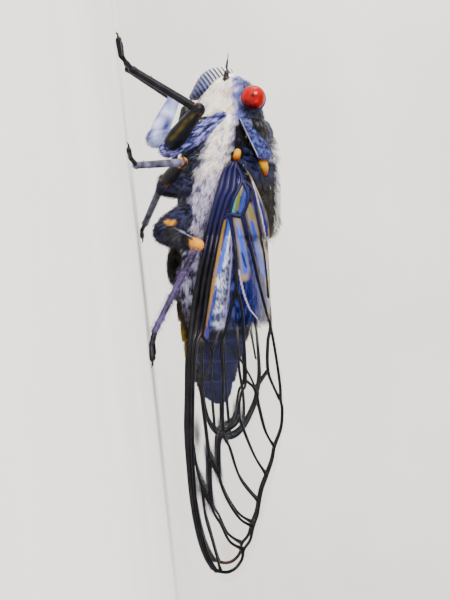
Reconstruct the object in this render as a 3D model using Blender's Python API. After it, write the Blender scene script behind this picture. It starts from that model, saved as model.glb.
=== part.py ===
"""Cicada at rest with its wings folded over its back, a still life-size model.

It stands on the floor z = 0 on six feet, head towards -X, left side towards -Y.
Sizes are millimetres and become metres in place() and on_floor().
A body place is (along, out, up): along runs from the front of the head to the tail,
out is measured from the middle plane, up from the line through the front of the head.
A floor place is (along, out, height), with along measured from below that same front.
"""
import math

import bmesh
import bpy
from mathutils import Matrix, Vector
from mathutils.geometry import delaunay_2d_cdt

# Driving sizes, millimetres
MM = 0.001
GAP = 0.3
BODY_LENGTH = 34.5
BODY_PITCH = math.radians(6.13)
FRONT_HEIGHT = 10.8
FRONT_X = -23.2
LEFT, RIGHT = -1, 1
SIDE_NAMES = {LEFT: "left", RIGHT: "right"}

# Body sections: along, bottom, height of the widest line, top, half width
HEAD_SECTIONS = [
    (0.4, -0.9, 0.2, 1.2, 1.5),
    (0.9, -1.5, 0.9, 2.1, 3.0),
    (1.6, -2.1, 1.8, 3.0, 3.9),
    (3.0, -2.6, 2.2, 3.6, 4.3),
    (4.2, -2.9, 2.0, 4.0, 4.45),
    (5.0, -3.2, 1.6, 4.25, 4.55),
]
TRUNK_SECTIONS = [
    (5.3, -3.3, 0.9, 3.6, 4.7),
    (6.9, -3.9, 0.8, 4.4, 5.1),
    (8.2, -4.2, 0.7, 4.9, 5.4),
    (9.5, -4.3, 0.6, 5.3, 5.7),
    (11.5, -4.5, 0.5, 5.7, 5.9),
    (14.0, -4.6, 0.3, 5.75, 5.6),
    (16.0, -4.8, 0.1, 5.5, 5.2),
    (17.2, -4.8, -0.1, 4.8, 4.9),
    (17.5, -4.9, -0.2, 3.0, 5.0),
    (19.0, -5.2, -0.5, 3.0, 5.4),
    (21.7, -5.4, -0.7, 3.1, 5.6),
    (24.9, -4.9, -0.75, 3.2, 5.2),
    (27.0, -4.5, -0.8, 2.7, 4.5),
    (29.7, -4.0, -0.9, 1.8, 3.6),
    (31.6, -3.4, -0.9, 1.3, 2.7),
    (33.5, -2.4, -0.8, 0.75, 1.5),
    (BODY_LENGTH, -1.2, -0.4, 0.2, 0.4),
]
PRONOTUM_SECTIONS = [
    (5.2, -1.0, 1.6, 4.5, 5.2),
    (6.1, -1.0, 1.7, 4.95, 5.5),
    (7.1, -1.0, 1.8, 5.4, 5.8),
    (8.0, -1.0, 2.0, 5.7, 6.1),
    (9.2, -1.0, 2.1, 5.75, 6.4),
]
NOTUM_START = 9.5
TRUNK_END = 17.2
ABDOMEN_START = 17.5
PRONOTUM_EDGE = ((5.3, 1.5), (9.4, 3.4))
NOTUM_EDGE = 1.4
TERGITES = 8
AROUND = 18

# Head pieces
EYE_PLACE = (3.08, 4.75, 2.87)
EYE_RADIUS = 1.25
CLYPEUS_LOW = (2.85, -3.5)
CLYPEUS_HIGH = (-0.1, 0.85)
CLYPEUS_BULGE = [(0.0, 0.35), (0.36, 1.42), (0.58, 1.64), (0.76, 1.37), (0.93, 0.8), (1.0, 0.35)]
CLYPEUS_HALF_WIDTH = 2.5
CLYPEUS_DEPTH = 0.7
CLYPEUS_RIDGES = 12
RIDGE_DEPTH = 0.09
OCELLUS_RADIUS = 0.3

# Wings: each station is along, height of the roof's ridge line, spread per mm down
ROOF = [
    (9.0, 1.2, 0.9), (11.3, 2.7, 0.9), (14.0, 3.9, 0.9), (16.1, 4.5, 0.9), (20.7, 4.75, 0.88),
    (25.8, 5.05, 0.84), (29.4, 5.75, 0.8), (34.1, 6.3, 0.77), (41.0, 6.3, 0.72), (53.5, 6.2, 0.62),
]
WING_THICKNESS = 0.5
RIDGE_OUT = 0.1
FORE_LIFT = [(9.0, 0.6), (11.2, 0.6), (14.3, 1.45), (60.0, 1.45)]
HIND_LIFT = 0.6
HIND_INSET = 1.1
VEIN_HEIGHT = 0.2
WIDE_VEIN = 0.36
NARROW_VEIN = 0.24
VEIN_STEP = 2.0
CELL_STEP = 2.1

# Forewing in side view, (along, up). Named places are where veins meet.
FORE_JOINTS = {
    "root": (9.95, 0.95),
    "basal_tip": (11.6, 1.64),
    "basal_low": (15.1, 0.41),
    "basal_high": (15.2, 1.64),
    "median_fork": (22.7, 1.03),
    "upper_fork": (37.2, -0.2),
    "lower_fork": (32.1, 2.15),
    "cubital_node": (26.4, 4.82),
    "radial_node": (27.6, -2.3),
    "radial_meet": (43.0, -2.36),
    "sector_meet": (44.6, -1.44),
    "sector_bend": (39.9, -1.64),
    "median_bend": (41.5, -0.67),
    "median_corner": (35.5, 1.44),
    "cubital_corner": (33.1, 3.18),
    "cubital_bend": (31.1, 4.56),
    "edge_1": (51.6, -0.45),
    "edge_2": (49.5, 1.95),
    "edge_3": (47.2, 2.97),
    "edge_4": (44.8, 3.6),
    "edge_5": (42.05, 4.41),
    "edge_6": (39.1, 5.23),
    "edge_7": (34.3, 5.9),
}
FORE_COSTAL = [
    (9.7, 0.6), (10.7, -0.3), (12.5, -0.9), (14.6, -1.45), (17.6, -2.15), (22.8, -3.2),
    (28.4, -3.9), (34.1, -4.05), (38.2, -4.1), (43.3, -3.7), (46.4, -3.2), (48.9, -2.55),
    (51.0, -1.65),
]
FORE_TIP = [(52.3, -0.6), (52.8, 0.3), (52.4, 1.2), (51.3, 2.2)]
FORE_HIND = [
    (48.7, 3.3), (44.8, 4.4), (41.0, 5.45), (37.1, 6.15), (34.1, 6.25), (29.4, 5.75),
    (25.8, 5.0), (20.7, 4.7), (16.1, 4.4), (14.0, 3.8), (11.3, 2.6), (10.1, 1.7),
]
FORE_WIDE_VEINS = [
    [(10.9, 0.1), (12.7, -0.5), (14.7, -1.05), (17.7, -1.75), (22.9, -2.8), (28.4, -3.5),
     (34.1, -3.68), (38.2, -3.72), (43.2, -3.32), (46.2, -2.82), (48.6, -2.2), (50.6, -1.35),
     "edge_1"],
    ["root", (12.5, 0.7), (15.6, -0.25), (20.7, -1.25), "radial_node", (30.0, -2.9),
     (34.0, -3.0), (39.2, -3.05), (41.9, -2.7), "radial_meet", (45.8, -2.05), (48.4, -1.33),
     "edge_1"],
    ["radial_node", (29.3, -1.35), (32.6, -2.4), (34.5, -2.26), "sector_bend", "sector_meet",
     (46.8, -0.41), (48.6, 0.51), "edge_2"],
]
FORE_NARROW_VEINS = [
    ["root", "basal_tip", (13.6, 0.8), "basal_low"],
    ["basal_tip", (13.2, 2.3), "basal_high", "basal_low", (15.6, -0.25)],
    ["basal_low", (18.7, 0.97), "median_fork", (26.9, 0.0), (28.2, -0.4), (31.5, -0.26),
     "upper_fork", (39.0, 0.51), (42.3, 1.64), "edge_4"],
    ["median_fork", (24.5, 1.6), (27.4, 1.88), "lower_fork", (33.4, 1.64), "median_corner",
     (37.4, 2.05), (40.1, 3.18), "edge_5"],
    ["lower_fork", "cubital_corner", (34.8, 3.59), (37.5, 4.31), "edge_6"],
    ["basal_high", (18.7, 2.67), (21.7, 3.38), (25.0, 4.31), "cubital_node", (28.2, 4.56),
     "cubital_bend", (33.0, 5.23), "edge_7"],
    ["basal_tip", (15.1, 3.15), (18.5, 3.9), (21.6, 4.3)],
    ["upper_fork", (38.4, -0.66), "median_bend", (44.0, 0.1), (46.3, 1.54), "edge_3"],
    ["radial_meet", "sector_meet"],
    ["sector_bend", "median_bend"],
    ["upper_fork", (36.5, 1.0), "median_corner"],
    ["cubital_corner", (32.2, 3.8), "cubital_bend"],
    ["edge_1", (51.4, 0.9), "edge_2", "edge_3", "edge_4", "edge_5", "edge_6", (37.1, 5.8),
     "edge_7", (31.5, 5.6), (28.4, 5.2), "cubital_node"],
]

# Hindwing, folded between the forewing and the abdomen
HIND_JOINTS = {"stem": (15.2, 0.3), "fork": (25.0, -0.2), "split": (29.5, 1.4)}
HIND_COSTAL = [(13.9, 0.0), (16.5, -0.6), (22.0, -1.9), (28.0, -2.5), (33.0, -2.5), (36.6, -1.7)]
HIND_TIP = [(38.3, -0.3), (38.6, 0.9), (37.6, 2.2)]
HIND_TRAILING = [
    (34.8, 3.6), (31.0, 4.0), (26.0, 3.4), (21.0, 2.7), (17.5, 2.3), (14.3, 1.2),
]
HIND_VEINS = [
    ["stem", (19.0, -0.6), "fork", (30.0, -1.4), (35.5, -1.2)],
    ["fork", (31.0, 0.0), (37.2, 0.6)],
    ["stem", (20.0, 0.9), "split", (34.0, 2.0), (36.4, 2.1)],
    ["split", (32.4, 3.0)],
]

# Legs: hip, trochanter and knee are body places, ankle and toe are floor places
LEG_PLACES = {
    "fore": ((5.9, 4.0, -1.0), (8.3, 4.8, -5.8), (4.6, 7.6, -2.8), (-0.25, 9.0, 1.4), (-3.3, 10.0)),
    "mid": ((12.0, 3.0, -3.0), (11.7, 4.7, -6.1), (10.0, 8.6, -4.4), (9.7, 15.0, 0.8), (8.3, 18.2)),
    "hind": ((14.5, 3.1, -3.4), (16.7, 4.6, -6.2), (18.3, 8.7, -2.85), (26.0, 11.6, 0.8),
             (28.7, 12.6)),
}
RIGHT_LEG_PLACES = {
    "fore": ((6.3, 3.0, -2.6), (6.6, 4.6, -7.2), (2.1, 7.0, -5.2), (-2.5, 10.2, 0.8), (-5.6, 11.9)),
    "mid": ((12.0, 3.0, -3.0), (11.9, 4.7, -6.3), (11.4, 9.3, -6.6), (14.2, 15.6, 0.8),
            (15.6, 18.2)),
    "hind": LEG_PLACES["hind"],
}
LEG_WIDTHS = {
    "fore": (1.6, 1.9, 1.9, 1.4, 0.92, 0.74),
    "mid": (1.9, 1.5, 1.4, 1.1, 0.84, 0.7),
    "hind": (2.5, 2.3, 1.6, 1.25, 0.7, 0.58),
}
SPURS = {"fore": 0, "mid": 2, "hind": 5}
FOOT_HALF_WIDTH = 0.28
FOOT_AXIS_HEIGHT = 0.2
HEEL_SHARE = 0.5
CLAW_LENGTH = 0.75
CLAW_SPREAD = math.radians(32)
SPUR_LENGTH = 0.85

COLOURS = {
    "shell": (0.016, 0.018, 0.026),
    "notum": (0.06, 0.055, 0.06),
    "hairy": (0.32, 0.31, 0.33),
    "belly": (0.12, 0.11, 0.13),
    "eye": (0.65, 0.01, 0.006),
    "wing": (0.10, 0.10, 0.13),
    "leg": (0.018, 0.018, 0.026),
}


def place(along, out, up):
    """World point in metres of a body place in millimetres."""
    x = FRONT_X + along * math.cos(BODY_PITCH) + up * math.sin(BODY_PITCH)
    z = FRONT_HEIGHT - along * math.sin(BODY_PITCH) + up * math.cos(BODY_PITCH)
    return Vector((x, out, z)) * MM


def on_floor(along, out, height):
    """World point in metres of a floor place in millimetres."""
    return Vector((FRONT_X + along, out, height)) * MM


def read_table(table, along):
    """Values of a table of stations at one place, on a smooth curve through them."""
    along = min(max(along, table[0][0]), table[-1][0])
    last = len(table) - 1
    span = max(i for i in range(last) if table[i][0] <= along)
    start, end = table[span], table[span + 1]
    before, after = table[max(span - 1, 0)], table[min(span + 2, last)]
    width = end[0] - start[0]
    t = (along - start[0]) / width
    values = []
    for k in range(1, len(start)):
        leave = (end[k] - before[k]) / (end[0] - before[0]) * width
        arrive = (after[k] - start[k]) / (after[0] - start[0]) * width
        values.append(
            (2 * t**3 - 3 * t**2 + 1) * start[k] + (t**3 - 2 * t**2 + t) * leave
            + (3 * t**2 - 2 * t**3) * end[k] + (t**3 - t**2) * arrive)
    return values


def smooth_path(points, step):
    """Points about one step apart on a smooth curve through the given points."""
    points = [Vector(p) for p in points]
    path = [points[0]]
    for i in range(len(points) - 1):
        a, b = points[i], points[i + 1]
        leave = (b - points[max(i - 1, 0)]) / 2
        arrive = (points[min(i + 2, len(points) - 1)] - a) / 2
        pieces = max(1, round((b - a).length / step))
        for k in range(1, pieces + 1):
            t = k / pieces
            path.append((2 * t**3 - 3 * t**2 + 1) * a + (t**3 - 2 * t**2 + t) * leave
                        + (3 * t**2 - 2 * t**3) * b + (t**3 - t**2) * arrive)
    return path


def loft(bm, rings):
    """Close a stack of rings of equal count into one body."""
    stacked = [[bm.verts.new(point) for point in ring] for ring in rings]
    count = len(stacked[0])
    for near, far in zip(stacked, stacked[1:]):
        for i in range(count):
            j = (i + 1) % count
            bm.faces.new((near[i], near[j], far[j], far[i]))
    bm.faces.new(stacked[0])
    bm.faces.new(stacked[-1])


def section_ring(sections, along, grow=0.0, scale=1.0):
    """One cross-section of the body, as world points."""
    bottom, middle, top, half_width = read_table(sections, along)
    ring = []
    for i in range(AROUND):
        angle = 2 * math.pi * i / AROUND
        reach = (top - middle if math.sin(angle) > 0 else middle - bottom) * scale + grow
        out = (half_width * scale + grow) * math.cos(angle)
        ring.append(place(along, out, middle + reach * math.sin(angle)))
    return ring


def body_half_width(along, up, grow):
    """How far out the trunk, grown on all sides, reaches at a height."""
    if along > BODY_LENGTH + grow:
        return 0.0
    bottom, middle, top, half_width = read_table(TRUNK_SECTIONS, along)
    reach = (top - middle if up > middle else middle - bottom) + grow
    inside = 1 - ((up - middle) / reach) ** 2
    return (half_width + grow) * math.sqrt(max(0.0, inside))


def tube(bm, path, widths, sides=8, round_ends=True):
    """A tapered round rod along a path of world points, with widths in millimetres."""
    rings = []
    side = None
    spots = [(point, width * MM / 2) for point, width in zip(path, widths)]
    directions = []
    for i in range(len(path)):
        ahead = path[min(i + 1, len(path) - 1)] - path[max(i - 1, 0)]
        directions.append(ahead.normalized())
    stations = [(p, r, d) for (p, r), d in zip(spots, directions)]
    if round_ends:
        first, radius, direction = stations[0]
        last, last_radius, last_direction = stations[-1]
        head = [(first - direction * radius * s, radius * math.sqrt(1 - s * s), direction)
                for s in (0.92, 0.55)]
        tail = [(last + last_direction * last_radius * s,
                 last_radius * math.sqrt(1 - s * s), last_direction) for s in (0.55, 0.92)]
        stations = head + stations + tail
    for point, radius, direction in stations:
        if side is None:
            side = direction.orthogonal()
        side = (side - direction * side.dot(direction)).normalized()
        across = direction.cross(side)
        rings.append([
            point + radius * (side * math.cos(a) + across * math.sin(a))
            for a in (2 * math.pi * i / sides for i in range(sides))])
    loft(bm, rings)


def ball(bm, centre, radius, scales=(1, 1, 1), segments=16, rings=10):
    """A sphere or ellipsoid at a world point, its radius in millimetres."""
    made = bmesh.ops.create_uvsphere(
        bm, u_segments=segments, v_segments=rings, radius=radius * MM)
    turn = Matrix.Rotation(BODY_PITCH, 4, "Y")
    matrix = Matrix.Translation(centre) @ turn @ Matrix.Diagonal((*scales, 1))
    bmesh.ops.transform(bm, matrix=matrix, verts=made["verts"])


def keep_side(bm, point, normal):
    """Cut flat through everything, and keep what lies on the normal's side."""
    geometry = bm.verts[:] + bm.edges[:] + bm.faces[:]
    bmesh.ops.bisect_plane(
        bm, geom=geometry, plane_co=point, plane_no=-normal, clear_outer=True, dist=1e-7)
    rim = [edge for edge in bm.edges if edge.is_boundary]
    bmesh.ops.holes_fill(bm, edges=rim)


def largest_body(bm):
    """Delete all but the largest closed surface."""
    left = set(bm.faces)
    bodies = []
    while left:
        queue = [left.pop()]
        body = list(queue)
        while queue:
            face = queue.pop()
            for edge in face.edges:
                for other in edge.link_faces:
                    if other in left:
                        left.discard(other)
                        queue.append(other)
                        body.append(other)
        bodies.append(body)
    bodies.sort(key=lambda faces: sum(face.calc_area() for face in faces))
    for body in bodies[:-1]:
        bmesh.ops.delete(bm, geom=body, context="FACES")


def material(name, colour, roughness=0.45, metallic=0.0):
    made = bpy.data.materials.new(name)
    made.use_nodes = True
    shader = made.node_tree.nodes["Principled BSDF"]
    shader.inputs["Base Color"].default_value = (*COLOURS[colour], 1)
    shader.inputs["Roughness"].default_value = roughness
    shader.inputs["Metallic"].default_value = metallic
    return made


def finish(bm, name, colour, collection, roughness=0.45):
    """Turn a finished bmesh into a named, shaded object."""
    bmesh.ops.triangulate(bm, faces=bm.faces[:])
    bmesh.ops.recalc_face_normals(bm, faces=bm.faces[:])
    mesh = bpy.data.meshes.new(name)
    bm.to_mesh(mesh)
    bm.free()
    mesh.shade_smooth()
    mesh.set_sharp_from_angle(angle=math.radians(35))
    mesh.materials.append(material(name, colour, roughness))
    made = bpy.data.objects.new(name, mesh)
    collection.objects.link(made)
    return made


def cutter(bm, name, cutters):
    """A closed shape that only cuts others."""
    bmesh.ops.recalc_face_normals(bm, faces=bm.faces[:])
    mesh = bpy.data.meshes.new(name)
    bm.to_mesh(mesh)
    bm.free()
    made = bpy.data.objects.new(name, mesh)
    made.hide_render = True
    made.display_type = "WIRE"
    cutters.objects.link(made)
    return made


def combine(target, others, operation):
    """Unite others with the target or cut them from it, and keep one closed body."""
    for other in others:
        modifier = target.modifiers.new(other.name, "BOOLEAN")
        modifier.operation = operation
        modifier.object = other
    graph = bpy.context.evaluated_depsgraph_get()
    result = bpy.data.meshes.new_from_object(target.evaluated_get(graph))
    target.modifiers.clear()
    bm = bmesh.new()
    bm.from_mesh(result)
    bmesh.ops.remove_doubles(bm, verts=bm.verts[:], dist=1e-6)
    bmesh.ops.dissolve_degenerate(bm, edges=bm.edges[:], dist=1e-6)
    largest_body(bm)
    bmesh.ops.triangulate(bm, faces=bm.faces[:])
    bmesh.ops.recalc_face_normals(bm, faces=bm.faces[:])
    bm.to_mesh(target.data)
    bm.free()
    bpy.data.meshes.remove(result)


def clypeus_rings(grow, ridged):
    """Rings along the swollen face, from the beak up to the brow."""
    low, high = Vector(CLYPEUS_LOW), Vector(CLYPEUS_HIGH)
    axis = (high - low).normalized()
    outward = Vector((-axis.y, axis.x))
    count = 2 * CLYPEUS_RIDGES + 1
    rings = []
    for k in range(count):
        t = k / (count - 1)
        swell = read_table(CLYPEUS_BULGE, t)[0]
        fullness = math.sqrt(max(0.06, 1 - (2 * t - 1) ** 2))
        groove = RIDGE_DEPTH if ridged and k % 2 == 0 else 0.0
        centre = low.lerp(high, t) + axis * grow * (2 * t - 1)
        ring = []
        for i in range(12):
            angle = 2 * math.pi * i / 12
            depth = (swell if math.sin(angle) > 0 else CLYPEUS_DEPTH * fullness) - groove + grow
            spot = centre + outward * depth * math.sin(angle)
            out = (CLYPEUS_HALF_WIDTH * fullness - groove + grow) * math.cos(angle)
            ring.append(place(spot.x, out, spot.y))
        rings.append(ring)
    return rings


def build_head(parts, cutters):
    bm = bmesh.new()
    loft(bm, [section_ring(HEAD_SECTIONS, a) for a in (0.4, 0.7, 1.2, 1.8, 2.5, 3.3, 4.2, 5.0)])
    head = finish(bm, "head", "shell", parts)

    bm = bmesh.new()
    loft(bm, clypeus_rings(GAP, ridged=False))
    sockets = [cutter(bm, "face_socket", cutters)]
    for side in (LEFT, RIGHT):
        along, out, up = EYE_PLACE
        bm = bmesh.new()
        ball(bm, place(along, side * out, up), EYE_RADIUS + GAP, segments=20, rings=12)
        sockets.append(cutter(bm, "eye_socket_" + SIDE_NAMES[side], cutters))
    combine(head, sockets, "DIFFERENCE")

    ocelli = []
    for along, out, up in ((1.6, 0.0, 2.9), (2.5, 0.55, 3.4), (2.5, -0.55, 3.4)):
        bm = bmesh.new()
        ball(bm, place(along, out, up), OCELLUS_RADIUS, segments=8, rings=6)
        ocelli.append(cutter(bm, "ocellus", cutters))
    combine(head, ocelli, "UNION")

    bm = bmesh.new()
    loft(bm, clypeus_rings(0.0, ridged=True))
    finish(bm, "postclypeus", "shell", parts)

    for side in (LEFT, RIGHT):
        along, out, up = EYE_PLACE
        bm = bmesh.new()
        ball(bm, place(along, side * out, up), EYE_RADIUS, segments=18, rings=12)
        finish(bm, "eye_" + SIDE_NAMES[side], "eye", parts, roughness=0.08)

    bm = bmesh.new()
    loft(bm, [section_ring(HEAD_SECTIONS, a, GAP) for a in (0.2, 0.8, 1.5, 3.0, 4.2, 5.3)])
    grown_head = cutter(bm, "grown_head", cutters)
    for side in (LEFT, RIGHT):
        bm = bmesh.new()
        path = [place(1.9, side * 2.7, 0.1), place(0.9, side * 3.1, 0.15),
                place(0.1, side * 3.25, 0.2), place(-1.64, side * 3.4, 0.36)]
        tube(bm, path, (0.85, 0.75, 0.5, 0.3), sides=7)
        feeler = finish(bm, "antenna_" + SIDE_NAMES[side], "shell", parts)
        combine(feeler, [grown_head], "DIFFERENCE")
    return grown_head


def grown_trunk(cutters):
    """The trunk with the gap added all round, to cut the pieces that grow from it."""
    bm = bmesh.new()
    stations = [5.0 + 0.9 * k for k in range(33)] + [BODY_LENGTH]
    loft(bm, [section_ring(TRUNK_SECTIONS, a, GAP) for a in stations])
    return cutter(bm, "grown_trunk", cutters)


def build_trunk(parts, cutters):
    low, high = PRONOTUM_EDGE
    slope = (high[1] - low[1]) / (high[0] - low[0])
    edge_point = place(low[0], 0, low[1])
    edge_normal = (place(low[0] - slope, 0, low[1] + 1) - edge_point).normalized()
    half_gap = edge_normal * GAP * MM / 2

    bm = bmesh.new()
    loft(bm, [section_ring(PRONOTUM_SECTIONS, a) for a in (5.3, 6.1, 6.9, 7.7, 8.3, 8.8, 9.2)])
    keep_side(bm, edge_point + half_gap, edge_normal)
    finish(bm, "pronotum", "notum", parts)

    bm = bmesh.new()
    loft(bm, [section_ring(TRUNK_SECTIONS, a) for a in (5.3, 6.3, 7.3, 8.3, 9.2)])
    keep_side(bm, edge_point - half_gap, -edge_normal)
    finish(bm, "prothorax", "hairy", parts)

    back_edge = place(NOTUM_START, 0, NOTUM_EDGE)
    back_normal = (place(NOTUM_START, 0, NOTUM_EDGE + 1) - back_edge).normalized()
    half_gap = back_normal * GAP * MM / 2
    stations = (NOTUM_START, 10.5, 11.7, 13.0, 14.3, 15.4, 16.4, TRUNK_END)
    bm = bmesh.new()
    loft(bm, [section_ring(TRUNK_SECTIONS, a) for a in stations])
    keep_side(bm, back_edge + half_gap, back_normal)
    mesonotum = finish(bm, "mesonotum", "notum", parts)
    arms = []
    for side in (LEFT, RIGHT):
        bm = bmesh.new()
        tube(bm, [place(14.9, side * 1.9, 5.0), place(16.1, 0.35 * side, 5.45),
                  place(17.1, side * -0.9, 4.9)], (0.9, 0.8, 0.6))
        arms.append(cutter(bm, "cross_arm_" + SIDE_NAMES[side], cutters))
    combine(mesonotum, arms, "UNION")

    bm = bmesh.new()
    loft(bm, [section_ring(TRUNK_SECTIONS, a) for a in stations])
    keep_side(bm, back_edge - half_gap, -back_normal)
    finish(bm, "thorax", "hairy", parts)


def build_abdomen(parts):
    """Ringed abdomen: each tergite widens a little and steps in at the next."""
    rings = []
    length = (BODY_LENGTH - ABDOMEN_START) / TERGITES
    for k in range(TERGITES):
        start = ABDOMEN_START + k * length
        rings.append(section_ring(TRUNK_SECTIONS, start, scale=0.96))
        rings.append(section_ring(TRUNK_SECTIONS, start + 0.5 * length, scale=0.99))
        rings.append(section_ring(TRUNK_SECTIONS, start + 0.93 * length, scale=1.0))
    rings.append(section_ring(TRUNK_SECTIONS, BODY_LENGTH, scale=0.9))
    bm = bmesh.new()
    loft(bm, rings)
    finish(bm, "abdomen", "belly", parts)


def build_underside(parts, trunk, head, cutters):
    """The beak and the two covers under the base of the abdomen."""
    bm = bmesh.new()
    path = smooth_path([place(4.1, 0, -4.0), place(6.0, 0, -4.5), place(8.5, 0, -5.0),
                        place(11.5, 0, -5.6)], 2 * MM)
    widths = [1.2 - 0.7 * k / (len(path) - 1) for k in range(len(path))]
    tube(bm, path, widths)
    beak = finish(bm, "rostrum", "shell", parts)
    bm = bmesh.new()
    loft(bm, clypeus_rings(GAP, ridged=False))
    face = cutter(bm, "face_clearance", cutters)
    combine(beak, [trunk, head, face], "DIFFERENCE")

    for side in (LEFT, RIGHT):
        bm = bmesh.new()
        ball(bm, place(20.2, side * 2.5, -5.1), 1.0, (2.1, 2.1, 1.0), segments=14, rings=10)
        cover = finish(bm, "operculum_" + SIDE_NAMES[side], "shell", parts)
        combine(cover, [trunk], "DIFFERENCE")


def wing_out(along, up, lift, inset):
    """How far out a folded wing lies: a roof that drapes over the trunk."""
    ridge, slope = read_table(ROOF, along)
    roof = RIDGE_OUT + slope * (ridge - up) - inset
    shell = body_half_width(along, up, lift)
    return 0.5 * (roof + shell + math.sqrt((roof - shell) ** 2 + 0.36))


def spline(route, joints, step):
    points = [joints[p] if isinstance(p, str) else p for p in route]
    return smooth_path(points, step)


def distance_to(point, path):
    """Shortest distance from a point to an open path, in the side view."""
    best = math.inf
    for a, b in zip(path, path[1:]):
        span = b - a
        t = (point - a).dot(span) / max(span.length_squared, 1e-9)
        best = min(best, (point - a - span * min(max(t, 0), 1)).length)
    return best


def is_inside(point, outline):
    inside = False
    for a, b in zip(outline, outline[1:] + outline[:1]):
        if (a.y > point.y) != (b.y > point.y):
            if point.x < a.x + (point.y - a.y) * (b.x - a.x) / (b.y - a.y):
                inside = not inside
    return inside


def wing_plan(outline, veins):
    """Triangulate the side view so that edges follow the outline and the veins."""
    points = list(outline)
    edges = [(i, (i + 1) % len(outline)) for i in range(len(outline))]
    closed = outline + outline[:1]

    def add_line(line):
        previous = None
        for point in line:
            clear = is_inside(point, outline) and distance_to(point, closed) > 0.1
            if clear:
                points.append(point)
                if previous is not None:
                    edges.append((previous, len(points) - 1))
            previous = len(points) - 1 if clear else None

    for path, half_width in veins:
        add_line(path)
        for side in (-1, 1):
            shifted = []
            for i, point in enumerate(path):
                ahead = path[min(i + 1, len(path) - 1)] - path[max(i - 1, 0)]
                across = Vector((-ahead.y, ahead.x)).normalized()
                shifted.append(point + across * side * half_width)
            add_line(shifted)

    low = Vector((min(p.x for p in outline), min(p.y for p in outline)))
    high = Vector((max(p.x for p in outline), max(p.y for p in outline)))
    for i in range(int((high.x - low.x) / CELL_STEP) + 1):
        for j in range(int((high.y - low.y) / CELL_STEP) + 1):
            point = low + Vector((i + 0.5 * (j % 2), j + 0.4)) * CELL_STEP
            far = all(distance_to(point, path) > 0.7 for path, _ in veins)
            if far and is_inside(point, outline) and distance_to(point, closed) > 0.6:
                points.append(point)
    return delaunay_2d_cdt(points, edges, [], 1, 0.02)


def build_wing(name, outline, veins, lift, inset, side, parts):
    """A membrane with its veins raised in its outer face."""
    plan_points, _, triangles = wing_plan(outline, veins)[:3]
    bm = bmesh.new()
    outer, inner = [], []

    def spot(point):
        reach = lift if isinstance(lift, float) else read_table(lift, point.x)[0]
        return Vector((point.x, wing_out(point.x, point.y, reach, inset), point.y))

    for point in plan_points:
        centre = spot(point)
        along = spot(point + Vector((0.05, 0))) - spot(point - Vector((0.05, 0)))
        upward = spot(point + Vector((0, 0.05))) - spot(point - Vector((0, 0.05)))
        normal = upward.cross(along).normalized()
        if normal.y < 0:
            normal = -normal
        raised = 0.0
        for path, half_width in veins:
            nearness = 1 - distance_to(point, path) / half_width
            raised = max(raised, VEIN_HEIGHT * min(nearness, 1))
        top = centre + normal * (WING_THICKNESS / 2 + raised)
        base = centre - normal * WING_THICKNESS / 2
        outer.append(bm.verts.new(place(top.x, side * top.y, top.z)))
        inner.append(bm.verts.new(place(base.x, side * base.y, base.z)))
    rim = {}
    for a, b, c in triangles:
        bm.faces.new((outer[a], outer[b], outer[c]))
        bm.faces.new((inner[c], inner[b], inner[a]))
        for p, q in ((a, b), (b, c), (c, a)):
            if (q, p) in rim:
                del rim[(q, p)]
            else:
                rim[(p, q)] = True
    for p, q in rim:
        bm.faces.new((outer[q], outer[p], inner[p], inner[q]))
    loose = [vert for vert in bm.verts if not vert.link_faces]
    bmesh.ops.delete(bm, geom=loose, context="VERTS")
    finish(bm, name, "wing", parts, roughness=0.2)


def build_wings(parts):
    fore_outline = smooth_path(
        FORE_COSTAL + FORE_TIP + FORE_HIND + FORE_COSTAL[:1], VEIN_STEP)[:-1]
    fore_veins = [(spline(r, FORE_JOINTS, VEIN_STEP), WIDE_VEIN / 2) for r in FORE_WIDE_VEINS]
    fore_veins += [(spline(r, FORE_JOINTS, VEIN_STEP), NARROW_VEIN / 2)
                   for r in FORE_NARROW_VEINS]
    hind_outline = smooth_path(
        HIND_COSTAL + HIND_TIP + HIND_TRAILING + HIND_COSTAL[:1], VEIN_STEP)[:-1]
    hind_veins = [(spline(r, HIND_JOINTS, VEIN_STEP), NARROW_VEIN / 2) for r in HIND_VEINS]
    for side in (LEFT, RIGHT):
        build_wing("forewing_" + SIDE_NAMES[side], fore_outline, fore_veins,
                   FORE_LIFT, 0.0, side, parts)
        build_wing("hindwing_" + SIDE_NAMES[side], hind_outline, hind_veins,
                   HIND_LIFT, HIND_INSET, side, parts)


def mitre(before, joint, after):
    """Normal of the flat cut between two lengths of a leg, towards the first one."""
    return ((before - joint).normalized() - (after - joint).normalized()).normalized()


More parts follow.
